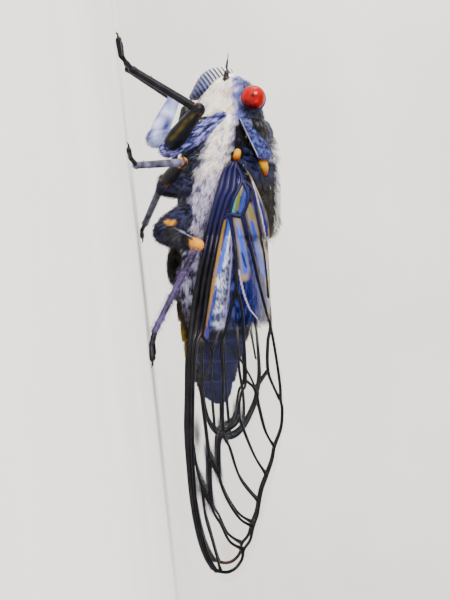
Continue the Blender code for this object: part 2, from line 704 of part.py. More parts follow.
def build_leg(pair, side, places, parts, cutters, body):
    prefix = pair + "_" + SIDE_NAMES[side] + "_"
    hip, trochanter, knee, ankle, toe = places
    hip, trochanter, knee = [place(a, side * o, u) for a, o, u in (hip, trochanter, knee)]
    ankle = on_floor(ankle[0], side * ankle[1], ankle[2])
    toe = on_floor(toe[0], side * toe[1], FOOT_AXIS_HEIGHT)
    coxa_top, coxa_end, femur_top, femur_end, tibia_top, tibia_end = LEG_WIDTHS[pair]
    half_gap = GAP * MM / 2
    cuts = [
        (trochanter, mitre(hip, trochanter, knee)),
        (knee, mitre(trochanter, knee, ankle)),
        (ankle, mitre(knee, ankle, toe)),
    ]

    def length_of_leg(name, start, end, widths, low_cut, high_cut):
        path = [start.lerp(end, t) for t in (0, 0.25, 0.5, 0.75, 1)]
        bm = bmesh.new()
        tube(bm, path, widths)
        if high_cut:
            point, normal = high_cut
            keep_side(bm, point - normal * half_gap, -normal)
        if low_cut:
            point, normal = low_cut
            keep_side(bm, point + normal * half_gap, normal)
        return finish(bm, prefix + name, "leg", parts)

    def taper(first, last, swell=0.0):
        return [first + (last - first) * t + swell * math.sin(math.pi * t)
                for t in (0, 0.25, 0.5, 0.75, 1)]

    coxa = length_of_leg("coxa", hip, trochanter, taper(coxa_top, coxa_end), cuts[0], None)
    combine(coxa, body, "DIFFERENCE")
    length_of_leg("femur", trochanter, knee, taper(femur_top, femur_end, 0.15), cuts[1], cuts[0])
    tibia = length_of_leg("tibia", knee, ankle, taper(tibia_top, tibia_end), cuts[2], cuts[1])
    spurs = []
    axis = (ankle - knee).normalized()
    across = axis.cross(Vector((0, 0, 1))).normalized()
    for k in range(SPURS[pair]):
        root = knee.lerp(ankle, 0.3 + 0.62 * k / max(SPURS[pair] - 1, 1))
        lean = (across * (-1) ** k * 0.8 + axis * 0.75 + Vector((0, 0, 0.2))).normalized()
        bm = bmesh.new()
        tube(bm, [root, root + lean * SPUR_LENGTH * MM], (0.3, 0.1), sides=5, round_ends=False)
        spurs.append(cutter(bm, "spur", cutters))
    if spurs:
        combine(tibia, spurs, "UNION")

    heel = ankle.lerp(toe, HEEL_SHARE)
    heel.z = FOOT_AXIS_HEIGHT * MM * 1.3
    path = [ankle, ankle.lerp(heel, 0.5), heel, heel.lerp(toe, 0.6), toe]
    bm = bmesh.new()
    tube(bm, path, [2 * FOOT_HALF_WIDTH * s for s in (1.0, 1.0, 0.9, 1.0, 0.85)])
    keep_side(bm, ankle - cuts[2][1] * half_gap, -cuts[2][1])
    keep_side(bm, Vector((0, 0, 0)), Vector((0, 0, 1)))
    foot = finish(bm, prefix + "tarsus", "leg", parts)
    claws = []
    ahead = Vector((toe.x - heel.x, toe.y - heel.y, 0)).normalized()
    for turn in (-CLAW_SPREAD, CLAW_SPREAD):
        outward = Matrix.Rotation(turn, 3, "Z") @ ahead
        root = toe + ahead * 0.05 * MM
        bend = root + outward * 0.6 * CLAW_LENGTH * MM + Vector((0, 0, 0.03 * MM))
        point = root + outward * CLAW_LENGTH * MM - Vector((0, 0, 0.08 * MM))
        bm = bmesh.new()
        tube(bm, [root, bend, point], (0.3, 0.2, 0.08), sides=5, round_ends=False)
        claws.append(cutter(bm, "claw", cutters))
    combine(foot, claws, "UNION")


def build_legs(parts, cutters, body):
    for side, legs in ((LEFT, LEG_PLACES), (RIGHT, RIGHT_LEG_PLACES)):
        for pair, places in legs.items():
            build_leg(pair, side, places, parts, cutters, body)


def main():
    for old in list(bpy.data.objects):
        bpy.data.objects.remove(old, do_unlink=True)
    parts = bpy.data.collections.new("cicada")
    cutters = bpy.data.collections.new("cutters")
    for collection in (parts, cutters):
        bpy.context.scene.collection.children.link(collection)
    head = build_head(parts, cutters)
    trunk = grown_trunk(cutters)
    build_trunk(parts, cutters)
    build_abdomen(parts)
    build_underside(parts, trunk, head, cutters)
    build_wings(parts)
    build_legs(parts, cutters, [trunk, head])
    for used in list(cutters.objects):
        bpy.data.objects.remove(used, do_unlink=True)


main()
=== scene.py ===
"""A large dark cicada at rest, wings folded over its back, on a pale studio floor.

Sizes are millimetres until place() and on_floor() make them metres. A body place is
(along, out, up): from the front of the head to the tail, out from the middle plane,
and up from the line through the front of the head.
"""
import math
from collections import namedtuple

import bmesh
import bpy
import numpy as np
from mathutils import Matrix, Vector, noise


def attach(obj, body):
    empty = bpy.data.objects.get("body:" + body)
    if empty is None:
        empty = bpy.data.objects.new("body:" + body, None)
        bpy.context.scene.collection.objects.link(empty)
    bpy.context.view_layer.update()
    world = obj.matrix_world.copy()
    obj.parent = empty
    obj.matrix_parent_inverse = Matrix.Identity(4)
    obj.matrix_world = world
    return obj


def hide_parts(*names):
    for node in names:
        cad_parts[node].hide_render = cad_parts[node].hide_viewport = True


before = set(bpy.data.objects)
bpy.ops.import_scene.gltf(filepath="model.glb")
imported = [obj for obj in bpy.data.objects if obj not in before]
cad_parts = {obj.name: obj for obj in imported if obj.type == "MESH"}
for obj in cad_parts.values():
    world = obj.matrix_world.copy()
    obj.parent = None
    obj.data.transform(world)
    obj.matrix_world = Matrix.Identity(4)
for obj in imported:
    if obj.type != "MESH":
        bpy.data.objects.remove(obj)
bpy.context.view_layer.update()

# Where the body lies in the frame
MM = 0.001
BODY_PITCH = math.radians(6.13)
FRONT_HEIGHT = 10.8
FRONT_X = -23.2
LEFT, RIGHT = -1, 1
SIDE_NAMES = {LEFT: "left", RIGHT: "right"}
BODY_LENGTH = 34.5

# Body sections: along, bottom, height of the widest line, top, half width
HEAD_SECTIONS = [
    (0.4, -0.9, 0.2, 1.2, 1.5), (0.9, -1.5, 0.9, 2.1, 3.0), (1.6, -2.1, 1.8, 3.0, 3.9),
    (3.0, -2.6, 2.2, 3.6, 4.3), (4.2, -2.9, 2.0, 4.0, 4.45), (5.3, -3.3, 1.6, 4.3, 4.65),
]
BODY_SECTIONS = [
    (5.3, -3.3, 0.9, 3.6, 4.7), (6.9, -3.9, 0.8, 4.4, 5.1), (8.2, -4.2, 0.7, 4.9, 5.4),
    (9.5, -4.3, 0.6, 5.3, 5.7), (11.5, -4.5, 0.5, 5.7, 5.9), (14.0, -4.6, 0.3, 5.75, 5.6),
    (16.0, -4.8, 0.1, 5.5, 5.2), (17.2, -4.8, -0.1, 4.8, 4.9), (17.5, -4.9, -0.2, 3.0, 5.0),
    (19.0, -5.2, -0.5, 3.0, 5.4), (21.7, -5.4, -0.7, 3.1, 5.6), (24.9, -4.9, -0.75, 3.2, 5.2),
    (27.0, -4.5, -0.8, 2.7, 4.5), (29.7, -4.0, -0.9, 1.8, 3.6), (31.6, -3.4, -0.9, 1.3, 2.7),
    (33.5, -2.4, -0.8, 0.75, 1.5), (BODY_LENGTH, -1.2, -0.4, 0.2, 0.4),
]
PRONOTUM_SECTIONS = [
    (5.2, -1.0, 1.6, 4.5, 5.2), (6.1, -1.0, 1.7, 4.95, 5.5), (7.1, -1.0, 1.8, 5.35, 5.8),
    (8.0, -1.0, 2.0, 5.6, 6.1), (9.2, -1.0, 2.1, 5.6, 6.4),
]
PRONOTUM_EDGE = ((5.3, 1.5), (9.4, 3.4))
# Where the fore body, the middle body and the abdomen meet
BODY_SPLIT = 9.35
THORAX_END = 17.3
ABDOMEN_START = 17.4
NOTUM_EDGE = 1.4
PLATE_DOME = 0.12
PLATE_GAP = 0.1
TERGITES = 8
TERGITE_LENGTH = (BODY_LENGTH - ABDOMEN_START) / TERGITES

# Head pieces
EYE_PLACE = (3.08, 4.75, 2.87)
EYE_RADIUS = 1.25
CLYPEUS_LOW = (2.85, -3.5)
CLYPEUS_HIGH = (-0.1, 0.85)
CLYPEUS_BULGE = [(0.0, 0.35), (0.36, 1.42), (0.58, 1.64), (0.76, 1.37), (0.93, 0.8), (1.0, 0.35)]
CLYPEUS_HALF_WIDTH = 2.5
CLYPEUS_DEPTH = 0.7
CLYPEUS_RIDGES = 13
CLYPEUS_FURROW = 0.11
CLYPEUS_MIDDLE_FURROW = 0.08
RINGS_PER_RIDGE = 8

# Wings: along, height of the roof's ridge line, spread per mm down
ROOF = [
    (9.0, 1.2, 0.9), (11.3, 2.7, 0.9), (14.0, 3.9, 0.9), (16.1, 4.5, 0.9), (20.7, 4.75, 0.88),
    (25.8, 5.05, 0.84), (29.4, 5.75, 0.8), (34.1, 6.3, 0.77), (41.0, 6.3, 0.72), (53.5, 6.2, 0.62),
]
RIDGE_OUT = 0.1
FORE_LIFT = [(9.0, 0.6), (11.2, 0.6), (14.3, 1.45), (60.0, 1.45)]
HIND_LIFT = [(9.0, 0.6), (60.0, 0.6)]
HIND_INSET = 1.1
MEMBRANE_THICKNESS = 0.05
FORE_JOINTS = {
    "root": (9.95, 0.95), "basal_tip": (11.6, 1.64), "basal_low": (15.1, 0.41),
    "basal_high": (15.2, 1.64), "median_fork": (22.7, 1.03), "upper_fork": (37.2, -0.2),
    "lower_fork": (32.1, 2.15), "cubital_node": (26.4, 4.82), "radial_node": (27.6, -2.3),
    "radial_meet": (43.0, -2.36), "sector_meet": (44.6, -1.44), "sector_bend": (39.9, -1.64),
    "median_bend": (41.5, -0.67), "median_corner": (35.5, 1.44), "cubital_corner": (33.1, 3.18),
    "cubital_bend": (31.1, 4.56), "edge_1": (51.6, -0.45), "edge_2": (49.5, 1.95),
    "edge_3": (47.2, 2.97), "edge_4": (44.8, 3.6), "edge_5": (42.05, 4.41),
    "edge_6": (39.1, 5.23), "edge_7": (34.3, 5.9),
}
FORE_COSTAL = [
    (9.7, 0.6), (10.7, -0.3), (12.5, -0.9), (14.6, -1.45), (17.6, -2.15), (22.8, -3.2),
    (28.4, -3.9), (34.1, -4.05), (38.2, -4.1), (43.3, -3.7), (46.4, -3.2), (48.9, -2.55),
    (51.0, -1.65), (52.3, -0.6), (52.8, 0.3),
]
FORE_HIND = [
    (9.7, 1.3), (10.1, 1.7), (11.3, 2.6), (14.0, 3.8), (16.1, 4.4), (20.7, 4.7), (25.8, 5.0),
    (29.4, 5.75), (34.1, 6.25), (37.1, 6.15), (41.0, 5.45), (44.8, 4.4), (48.7, 3.3),
    (51.3, 2.2), (52.4, 1.2), (52.8, 0.3),
]
# The black front band, from its own front edge to this line
COSTAL_BAND_FRONT = [
    (9.7, 0.55), *FORE_COSTAL[1:10], (46.4, -3.24), (48.9, -2.62), (50.7, -1.85), (51.7, -1.0),
]
COSTAL_BAND_EDGE = [
    (9.7, 1.2), (12.5, 1.1), (13.5, 0.55), (15.6, -0.15), (17.6, -0.6), (20.7, -1.2),
    (23.8, -1.7), (26.9, -2.15), (27.9, -2.7), (30.0, -3.05), (34.0, -3.2), (39.0, -3.2),
    (43.2, -3.0), (46.4, -2.55), (48.9, -1.95), (50.5, -1.3), (51.7, -0.5),
]
BAND_SPAN = (9.75, 51.7)
BAND_RINGS = 220
BAND_POINTS = 19
# Strokes of colour in the cells near the root: colour, cover, half widths, route
# Their blues stand partly for painted reflection, and the thin whitish ones are painted highlights
FORE_STROKES = [
    ("#0C1148", 0.95, 0.5, 0.75, [(20.2, 2.35), (22.0, 2.75), (24.0, 3.2)]),
    # Painted highlight: a thin whitish line
    ("#A8A2B4", 0.9, 0.07, 0.05, [(20.8, 1.35), (23.0, 1.8), (24.8, 2.5), (25.6, 3.2),
                                 (26.6, 3.6)]),
    ("#7A6C58", 0.95, 0.42, 0.5, [(15.7, 1.15), (18.0, 1.55), (20.0, 1.85), (21.4, 1.95)]),
    ("#2C48A8", 0.95, 0.28, 0.34, [(16.6, 1.3), (18.6, 1.72), (20.3, 1.92), (20.9, 1.95)]),
    ("#5A6AA8", 0.95, 0.12, 0.08, [(15.9, 1.2), (17.2, 1.45)]),
    ("#121640", 0.9, 0.1, 0.12, [(19.0, 1.62), (20.4, 2.05)]),
    ("#74644C", 0.95, 0.46, 0.42, [(14.4, 2.3), (17.0, 3.05), (19.5, 3.75), (22.2, 4.35)]),
    ("#5A6432", 0.9, 0.14, 0.16, [(14.2, 2.3), (15.6, 2.75)]),
    ("#1C3C98", 0.95, 0.2, 0.34, [(15.9, 2.65), (18.0, 3.2), (20.2, 3.8), (21.3, 4.1)]),
    ("#0B1040", 0.95, 0.34, 0.3, [(21.4, 3.75), (23.0, 4.15), (24.6, 4.5)]),
    ("#80602C", 0.95, 0.16, 0.2, [(15.2, -0.02), (18.6, -0.62), (22.6, -1.32), (26.6, -1.95)]),
    ("#5E3A18", 0.95, 0.18, 0.22, [(26.6, -1.95), (27.8, -2.3)]),
    ("#2C4CAC", 0.95, 0.15, 0.24, [(15.8, 0.38), (17.4, 0.1), (19.2, -0.28), (21.0, -0.7)]),
    ("#182C84", 0.95, 0.16, 0.15, [(22.8, -0.98), (25.0, -1.45), (27.6, -1.98)]),
    # Painted highlight: a thin whitish line beside the azure stroke
    ("#AEB8D8", 0.9, 0.05, 0.08, [(15.5, 0.6), (17.6, 0.32), (19.0, 0.12)]),
    ("#6C6680", 0.9, 0.07, 0.08, [(16.6, 0.5), (19.5, 0.56), (22.5, 0.32), (26.0, -0.1)]),
    ("#3E7874", 0.9, 0.22, 0.3, [(12.9, 1.3), (14.2, 0.88), (14.8, 0.72)]),
    ("#58581A", 0.95, 0.18, 0.2, [(11.9, 1.7), (13.3, 1.32), (14.6, 1.14)]),
    ("#283A84", 0.95, 0.2, 0.24, [(13.0, 1.95), (14.2, 1.64), (14.8, 1.52)]),
    ("#86765E", 0.95, 0.2, 0.16, [(10.6, 2.2), (12.4, 3.1), (14.4, 3.6), (17.0, 4.1)]),
    ("#06060E", 0.95, 0.3, 0.3, [(10.1, 1.5), (11.3, 2.2), (12.5, 2.5)]),
    ("#161F66", 0.9, 0.16, 0.2, [(12.6, 2.9), (13.8, 3.4), (15.4, 3.85), (17.2, 4.25)]),
    # Painted highlight: thin whitish specks near the root
    ("#A8A4B4", 0.9, 0.05, 0.05, [(11.8, 2.75), (14.4, 3.45), (17.4, 4.15)]),
    ("#7C5A2A", 0.95, 0.1, 0.07, [(16.6, 4.42), (19.5, 4.6), (22.5, 4.75), (25.6, 5.0)]),
]
# Veins are oval in section and stand a little proud of the film
VEIN_STEP = 0.25
VEIN_RISE = 0.03
VEIN_SIDES = 10
VEIN_SQUASH = 0.75
# Each vein: its route, then its half width at the start and at the end
FORE_VEINS = [
    ([(26.9, -2.3), "radial_node", (29.3, -1.35), (32.6, -2.4), (34.5, -2.26), "sector_bend",
      "sector_meet", (46.8, -0.41), (48.6, 0.51), "edge_2"], 0.17, 0.15),
    ([(32.4, -2.9), (32.6, -2.4)], 0.14, 0.14),
    ([(38.2, -3.3), (41.0, -2.9), "radial_meet", (45.8, -2.05), (48.4, -1.33), "edge_1"],
     0.15, 0.13),
    (["root", "basal_tip", (13.6, 0.8), "basal_low"], 0.2, 0.15),
    (["basal_tip", (13.2, 2.3), "basal_high", "basal_low", (15.6, -0.25)], 0.18, 0.2),
    (["basal_low", (18.7, 0.97), "median_fork", (24.5, 0.55), (26.9, 0.0), (28.2, -0.4),
      (31.5, -0.26), "upper_fork", (39.0, 0.51), (42.3, 1.64), "edge_4"], 0.2, 0.13),
    (["median_fork", (24.5, 1.6), (27.4, 1.88), "lower_fork", (33.4, 1.64), "median_corner",
      (37.4, 2.05), (40.1, 3.18), "edge_5"], 0.18, 0.13),
    (["lower_fork", "cubital_corner", (34.8, 3.59), (37.5, 4.31), "edge_6"], 0.15, 0.12),
    (["basal_high", (18.7, 2.67), (21.7, 3.38), (25.0, 4.31), "cubital_node", (28.2, 4.56),
      "cubital_bend", (33.0, 5.23), "edge_7"], 0.2, 0.12),
    (["basal_tip", (12.6, 2.75), (15.1, 3.2), (18.5, 3.95), (21.6, 4.35), (23.6, 4.55)],
     0.17, 0.12),
    (["upper_fork", (38.4, -0.66), "median_bend", (44.0, 0.1), (46.3, 1.54), "edge_3"],
     0.2, 0.13),
    (["radial_meet", "sector_meet"], 0.26, 0.24),
    (["sector_bend", "median_bend"], 0.3, 0.27),
    (["upper_fork", (38.4, -0.66), "median_bend"], 0.24, 0.28),
    (["sector_bend", (42.2, -1.6), "sector_meet"], 0.26, 0.28),
    (["upper_fork", (36.5, 1.0), "median_corner"], 0.27, 0.3),
    (["cubital_corner", (32.2, 3.8), "cubital_bend"], 0.13, 0.12),
    ([(50.6, -1.55), (51.3, -1.15), "edge_1", (51.7, 0.3), (51.35, 1.1), (50.5, 1.75), "edge_2",
      (48.6, 2.6), "edge_3", (46.0, 3.4), "edge_4", (43.4, 3.9), "edge_5", (40.4, 4.98),
      "edge_6", (37.1, 5.93), (35.2, 6.06), "edge_7", (32.9, 5.85), (30.9, 5.6), (28.4, 5.2),
      "cubital_node"], 0.19, 0.13),
]
HIND_COSTAL = [
    (13.9, 0.0), (16.5, -0.6), (22.0, -1.9), (28.0, -2.5), (33.0, -2.5), (36.6, -1.7),
    (38.3, -0.3), (38.6, 0.9),
]
HIND_TRAILING = [
    (13.9, 0.6), (14.3, 1.2), (17.5, 2.3), (21.0, 2.7), (26.0, 3.4), (31.0, 4.0), (34.8, 3.6),
    (37.6, 2.2), (38.6, 0.9),
]
HIND_JOINTS = {"stem": (14.6, 0.3), "fork": (25.0, -0.2), "split": (29.5, 1.4)}
HIND_VEINS = [
    ([(14.0, 0.1), (17.0, -0.55), (22.0, -1.75), (28.0, -2.35), (33.0, -2.35), (36.4, -1.6),
      (37.7, -0.4), (37.9, 0.8), (36.9, 2.0), (34.6, 3.15), (33.2, 3.45)], 0.14, 0.24),
    ([(33.2, 3.45), (31.4, 3.65), (28.0, 3.45), (24.0, 3.0)], 0.22, 0.06),
    (["stem", (19.0, -0.6), "fork", (30.0, -1.4), (37.2, -1.0)], 0.13, 0.09),
    (["fork", (31.0, 0.0), (37.8, 0.6)], 0.1, 0.09),
    (["stem", (20.0, 0.9), "split", (34.0, 2.0), (36.9, 2.0)], 0.12, 0.09),
    (["split", (32.4, 3.0), (34.2, 3.3)], 0.1, 0.09),
    (["stem", (18.0, 1.6), (24.0, 2.3), (30.0, 3.3)], 0.1, 0.08),
]

# Legs: hip, trochanter and knee are body places, ankle and toe are floor places
LEG_PLACES = {
    "fore": ((5.9, 4.0, -1.0), (8.3, 4.8, -5.8), (4.6, 7.6, -2.8), (-0.25, 9.0, 1.4), (-3.3, 10.0)),
    "mid": ((12.0, 3.0, -3.0), (11.7, 4.7, -6.1), (10.0, 8.6, -4.4), (9.7, 15.0, 0.8), (8.3, 18.2)),
    "hind": ((14.5, 3.1, -3.4), (16.7, 4.6, -6.2), (18.3, 8.7, -2.85), (26.0, 11.6, 0.8),
             (28.7, 12.6)),
}
RIGHT_LEG_PLACES = {
    "fore": ((6.3, 3.0, -2.6), (6.6, 4.6, -7.2), (2.1, 7.0, -5.2), (-2.5, 10.2, 0.8), (-5.6, 11.9)),
    "mid": ((12.0, 3.0, -3.0), (11.9, 4.7, -6.3), (11.4, 9.3, -6.6), (14.2, 15.6, 0.8),
            (15.6, 18.2)),
    "hind": LEG_PLACES["hind"],
}
LEG_WIDTHS = {
    "fore": (1.6, 1.9, 1.9, 1.4, 0.92, 0.74),
    "mid": (1.9, 1.5, 1.4, 1.1, 0.84, 0.7),
    "hind": (2.5, 2.3, 1.6, 1.25, 0.7, 0.58),
}
HEEL_SHARE = 0.5
SPURS = {"fore": 4, "mid": 7, "hind": 13}
FOOT_HALF_WIDTH = 0.27
FOOT_AXIS_HEIGHT = 0.27
CLAW_LENGTH = 0.75
CLAW_SPREAD = math.radians(32)

# Edges that fold by more than this stay sharp
SHARP_ANGLE = math.radians(50)


def place(along, out, up):
    """World point in metres of a body place in millimetres."""
    x = FRONT_X + along * math.cos(BODY_PITCH) + up * math.sin(BODY_PITCH)
    z = FRONT_HEIGHT - along * math.sin(BODY_PITCH) + up * math.cos(BODY_PITCH)
    return Vector((x, out, z)) * MM


def on_floor(along, out, height):
    return Vector((FRONT_X + along, out, height)) * MM


def body_places(points):
    """Body places in millimetres of an array of world points in metres."""
    x = points[:, 0] / MM - FRONT_X
    z = points[:, 2] / MM - FRONT_HEIGHT
    along = x * math.cos(BODY_PITCH) - z * math.sin(BODY_PITCH)
    up = x * math.sin(BODY_PITCH) + z * math.cos(BODY_PITCH)
    return along, points[:, 1] / MM, up


def heading(along, out, up):
    """World step in metres of a step in millimetres in the body's own directions."""
    return place(along, out, up) - place(0, 0, 0)


def ease(start, end, leave, arrive, t):
    """Value at share t of a cubic span with the given slopes at its ends."""
    return ((2 * t**3 - 3 * t**2 + 1) * start + (t**3 - 2 * t**2 + t) * leave
            + (3 * t**2 - 2 * t**3) * end + (t**3 - t**2) * arrive)


def read_table(table, along):
    """Values of a table of stations at one place, on a smooth curve through them."""
    along = min(max(along, table[0][0]), table[-1][0])
    last = len(table) - 1
    span = max(i for i in range(last) if table[i][0] <= along)
    start, end = table[span], table[span + 1]
    before, after = table[max(span - 1, 0)], table[min(span + 2, last)]
    width = end[0] - start[0]
    t = (along - start[0]) / width
    values = []
    for k in range(1, len(start)):
        leave = (end[k] - before[k]) / (end[0] - before[0]) * width
        arrive = (after[k] - start[k]) / (after[0] - start[0]) * width
        values.append(ease(start[k], end[k], leave, arrive, t))
    return values


def smooth_path(points, step):
    """Points about one step apart on a smooth curve through the given points."""
    points = [Vector(p) for p in points]
    path = [points[0]]
    for i in range(len(points) - 1):
        a, b = points[i], points[i + 1]
        leave = (b - points[max(i - 1, 0)]) / 2
        arrive = (points[min(i + 2, len(points) - 1)] - a) / 2
        pieces = max(1, round((b - a).length / step))
        for k in range(1, pieces + 1):
            path.append(ease(a, b, leave, arrive, k / pieces))
    return path


def smoothstep(low, high, value):
    t = np.clip((value - low) / (high - low), 0.0, 1.0)
    return t * t * (3 - 2 * t)


# Colours and materials

def linear(code):
    """Linear colour of an sRGB hex code."""
    parts = [int(code[i:i + 2], 16) / 255 for i in (1, 3, 5)]
    return [c / 12.92 if c <= 0.04045 else ((c + 0.055) / 1.055) ** 2.4 for c in parts]


def per_mm(size):
    """Pattern scale, in cycles per metre, of a feature this many millimetres wide."""
    return 1 / (size * MM)


def add(tree, kind, settings=None, links=None):
    """Add one node, set its properties and inputs, and link what feeds it."""
    made = tree.nodes.new(kind)
    for name, value in (settings or {}).items():
        if name in made.inputs:
            made.inputs[name].default_value = value
        else:
            setattr(made, name, value)
    for name, source in (links or {}).items():
        tree.links.new(source, made.inputs[name])
    return made


def new_material(name, **sockets):
    """A material, its nodes, its shader, and the place on the piece in metres."""
    made = bpy.data.materials.new(name)
    made.use_nodes = True
    shader = made.node_tree.nodes["Principled BSDF"]
    for socket, value in sockets.items():
        shader.inputs[socket.replace("_", " ")].default_value = value
    position = add(made.node_tree, "ShaderNodeTexCoord").outputs["Object"]
    return made, made.node_tree, shader, position


def two_tone(tree, position, size, dark, light):
    """A colour that wanders between two tones over patches of one size."""
    patches = add(tree, "ShaderNodeTexNoise", {"Scale": per_mm(size), "Detail": 4.0},
                  {"Vector": position})
    ramp = add(tree, "ShaderNodeValToRGB", None, {"Fac": patches.outputs["Fac"]})
    for element, spot, tone in zip(ramp.color_ramp.elements, (0.35, 0.65), (dark, light)):
        element.position = spot
        element.color = (*linear(tone), 1)
    return ramp.outputs["Color"]


def roughen(tree, shader, position, size, low, high):
    """Roughness that varies between two values."""
    wear = add(tree, "ShaderNodeTexNoise", {"Scale": per_mm(size), "Detail": 3.0},
               {"Vector": position})
    spread = add(tree, "ShaderNodeMapRange", {"To Min": low, "To Max": high},
                 {"Value": wear.outputs["Fac"]})
    tree.links.new(spread.outputs["Result"], shader.inputs["Roughness"])


def emboss(tree, shader, height, depth):
    """Bump from a height in 0 to 1, standing this many millimetres proud."""
    bump = add(tree, "ShaderNodeBump", {"Distance": depth * MM, "Strength": 1.0},
               {"Height": height})
    tree.links.new(bump.outputs["Normal"], shader.inputs["Normal"])


def chitin(name, dark, light):
    """Waxed insect cuticle: near black, hard, with fine pits that break its gloss."""
    made, tree, shader, position = new_material(name, Specular_IOR_Level=0.3)
    tree.links.new(two_tone(tree, position, 0.9, dark, light), shader.inputs["Base Color"])
    roughen(tree, shader, position, 0.5, 0.3, 0.5)
    pits = add(tree, "ShaderNodeTexVoronoi", {"Scale": per_mm(0.16)}, {"Vector": position})
    emboss(tree, shader, pits.outputs["Distance"], 0.03)
    return made


def marked(name, roughness, size=0.35, depth=0.05, spread=0.35, **sockets):
    """A surface coloured by its own marks, with a mottle and a fine grain."""
    made, tree, shader, position = new_material(name, Roughness=roughness, **sockets)
    marks = add(tree, "ShaderNodeAttribute", {"attribute_name": "mark"})
    mottle = add(tree, "ShaderNodeTexNoise", {"Scale": per_mm(size), "Detail": 5.0},
                 {"Vector": position})
    shade = add(tree, "ShaderNodeMapRange", {"To Min": 1 - spread, "To Max": 1 + spread},
                {"Value": mottle.outputs["Fac"]})
    tinted = add(tree, "ShaderNodeVectorMath", {"operation": "SCALE"},
                 {"Vector": marks.outputs["Color"], "Scale": shade.outputs["Result"]})
    tree.links.new(tinted.outputs["Vector"], shader.inputs["Base Color"])
    grain = add(tree, "ShaderNodeTexNoise", {"Scale": per_mm(0.12), "Detail": 3.0},
                {"Vector": position})
    emboss(tree, shader, grain.outputs["Fac"], depth)
    return made


def wing_film():
    """Wing membrane: clear glossy film, tinted where its own marks say so."""
    made, tree, shader, position = new_material(
        "clear wing film", Roughness=0.2, Specular_IOR_Level=0.09)
    marks = add(tree, "ShaderNodeAttribute", {"attribute_name": "mark"})
    tree.links.new(marks.outputs["Color"], shader.inputs["Base Color"])
    tree.links.new(marks.outputs["Alpha"], shader.inputs["Alpha"])
    ripple = add(tree, "ShaderNodeTexNoise", {"Scale": per_mm(1.1), "Detail": 3.0},
                 {"Vector": position})
    emboss(tree, shader, ripple.outputs["Fac"], 0.12)
    return made


def compound_eye():
    """Fresh insect eye: saturated red under a clear wet lens, with fine facets."""
    made, tree, shader, position = new_material(
        "red compound eye", Roughness=0.5, Specular_IOR_Level=0.05, Coat_Weight=0.25,
        Coat_Roughness=0.06)
    marks = add(tree, "ShaderNodeAttribute", {"attribute_name": "mark"})
    tree.links.new(marks.outputs["Color"], shader.inputs["Base Color"])
    # Real facets are about 0.03 mm wide, too fine to show, so these are drawn coarser
    facets = add(tree, "ShaderNodeTexVoronoi", {"Scale": per_mm(0.09)}, {"Vector": position})
    emboss(tree, shader, facets.outputs["Distance"], 0.012)
    return made


MATERIALS = {
    "chitin": chitin("blue-black chitin", "#040408", "#10121E"),
    # Smooth and waxed: narrow soft highlights along each leg
    "leg chitin": marked("black leg chitin", 0.4, size=0.5, depth=0.03, spread=0.3,
                         Specular_IOR_Level=0.13),
    # Powdered with wax and short down: nearly matt
    "skin": marked("downy cuticle", 0.7, depth=0.06, Specular_IOR_Level=0.07),
    # Thinner down on hard ridges: a dull sheen on each crest
    "face": marked("ridged face chitin", 0.5, depth=0.03, Specular_IOR_Level=0.25),
    # Fine and dry: each lock keeps its own tone under a faint shine
    "hair": marked("silky body hair", 0.5, size=0.8, depth=0.0, spread=0.22,
                   Specular_IOR_Level=0.2),
    # Hard tubes with a worn polish: a broken line of light
    "vein": marked("black wing vein", 0.4, size=0.4, depth=0.015, Specular_IOR_Level=0.15),
    # The glossiest black on the wing: light runs along its rails
    "band": marked("lacquered black wing edge", 0.36, size=0.4, depth=0.02,
                   Specular_IOR_Level=0.2),
    # Soft skin at a joint: rich colour with a waxy gleam
    "spot": marked("waxy orange cuticle", 0.4, size=0.4, depth=0.03, Specular_IOR_Level=0.15),
    "film": wing_film(),
    "eye": compound_eye(),
}


# Mesh helpers

def loft(bm, rings):
    """Extrude one ring into the next, keep their order in a UV map, and fill the ends."""
    count = len(rings[0])
    grid = bm.loops.layers.uv.verify()
    first = bmesh.ops.create_circle(bm, segments=count, radius=1)["verts"]
    row = list(first)
    placed = {vert: (0, i) for i, vert in enumerate(row)}
    for vert, point in zip(row, rings[0]):
        vert.co = point
    edges = [bm.edges.get((row[i], row[(i + 1) % count])) for i in range(count)]
    for level, ring in enumerate(rings[1:], 1):
        order = {vert: i for i, vert in enumerate(row)}
        made = bmesh.ops.extrude_edge_only(bm, edges=edges)["geom"]
        fresh = [None] * count
        for vert in (g for g in made if isinstance(g, bmesh.types.BMVert)):
            for edge in vert.link_edges:
                other = edge.other_vert(vert)
                if other in order:
                    fresh[order[other]] = vert
                    placed[vert] = (level, order[other])
        for vert, point in zip(fresh, ring):
            vert.co = point
        row = fresh
        edges = [bm.edges.get((row[i], row[(i + 1) % count])) for i in range(count)]
    for face in bm.faces:
        spots = [placed.get(loop.vert) for loop in face.loops]
        if None in spots:
            continue
        wraps = max(s[1] for s in spots) - min(s[1] for s in spots) > 1
        for loop, (level, i) in zip(face.loops, spots):
            turn = count if wraps and i == 0 else i
            loop[grid].uv = (turn / count, level / (len(rings) - 1))
    bmesh.ops.holes_fill(bm, edges=[edge for edge in bm.edges if edge.is_boundary])


def keep_side(bm, point, normal):
    """Cut flat through everything, and keep what lies on the normal's side."""
    geometry = bm.verts[:] + bm.edges[:] + bm.faces[:]
    bmesh.ops.bisect_plane(
        bm, geom=geometry, plane_co=point, plane_no=-normal, clear_outer=True, dist=1e-7)
    bmesh.ops.holes_fill(bm, edges=[edge for edge in bm.edges if edge.is_boundary])


def new_mesh(bm, name):
    mesh = bpy.data.meshes.new(name)
    bm.to_mesh(mesh)
    bm.free()
    return mesh


def read_all(items, field, width, kind=np.float32):
    """One field of all vertices, loops or triangles, as rows of this many values."""
    values = np.empty(len(items) * width, dtype=kind)
    items.foreach_get(field, values)
    return values.reshape(-1, width)


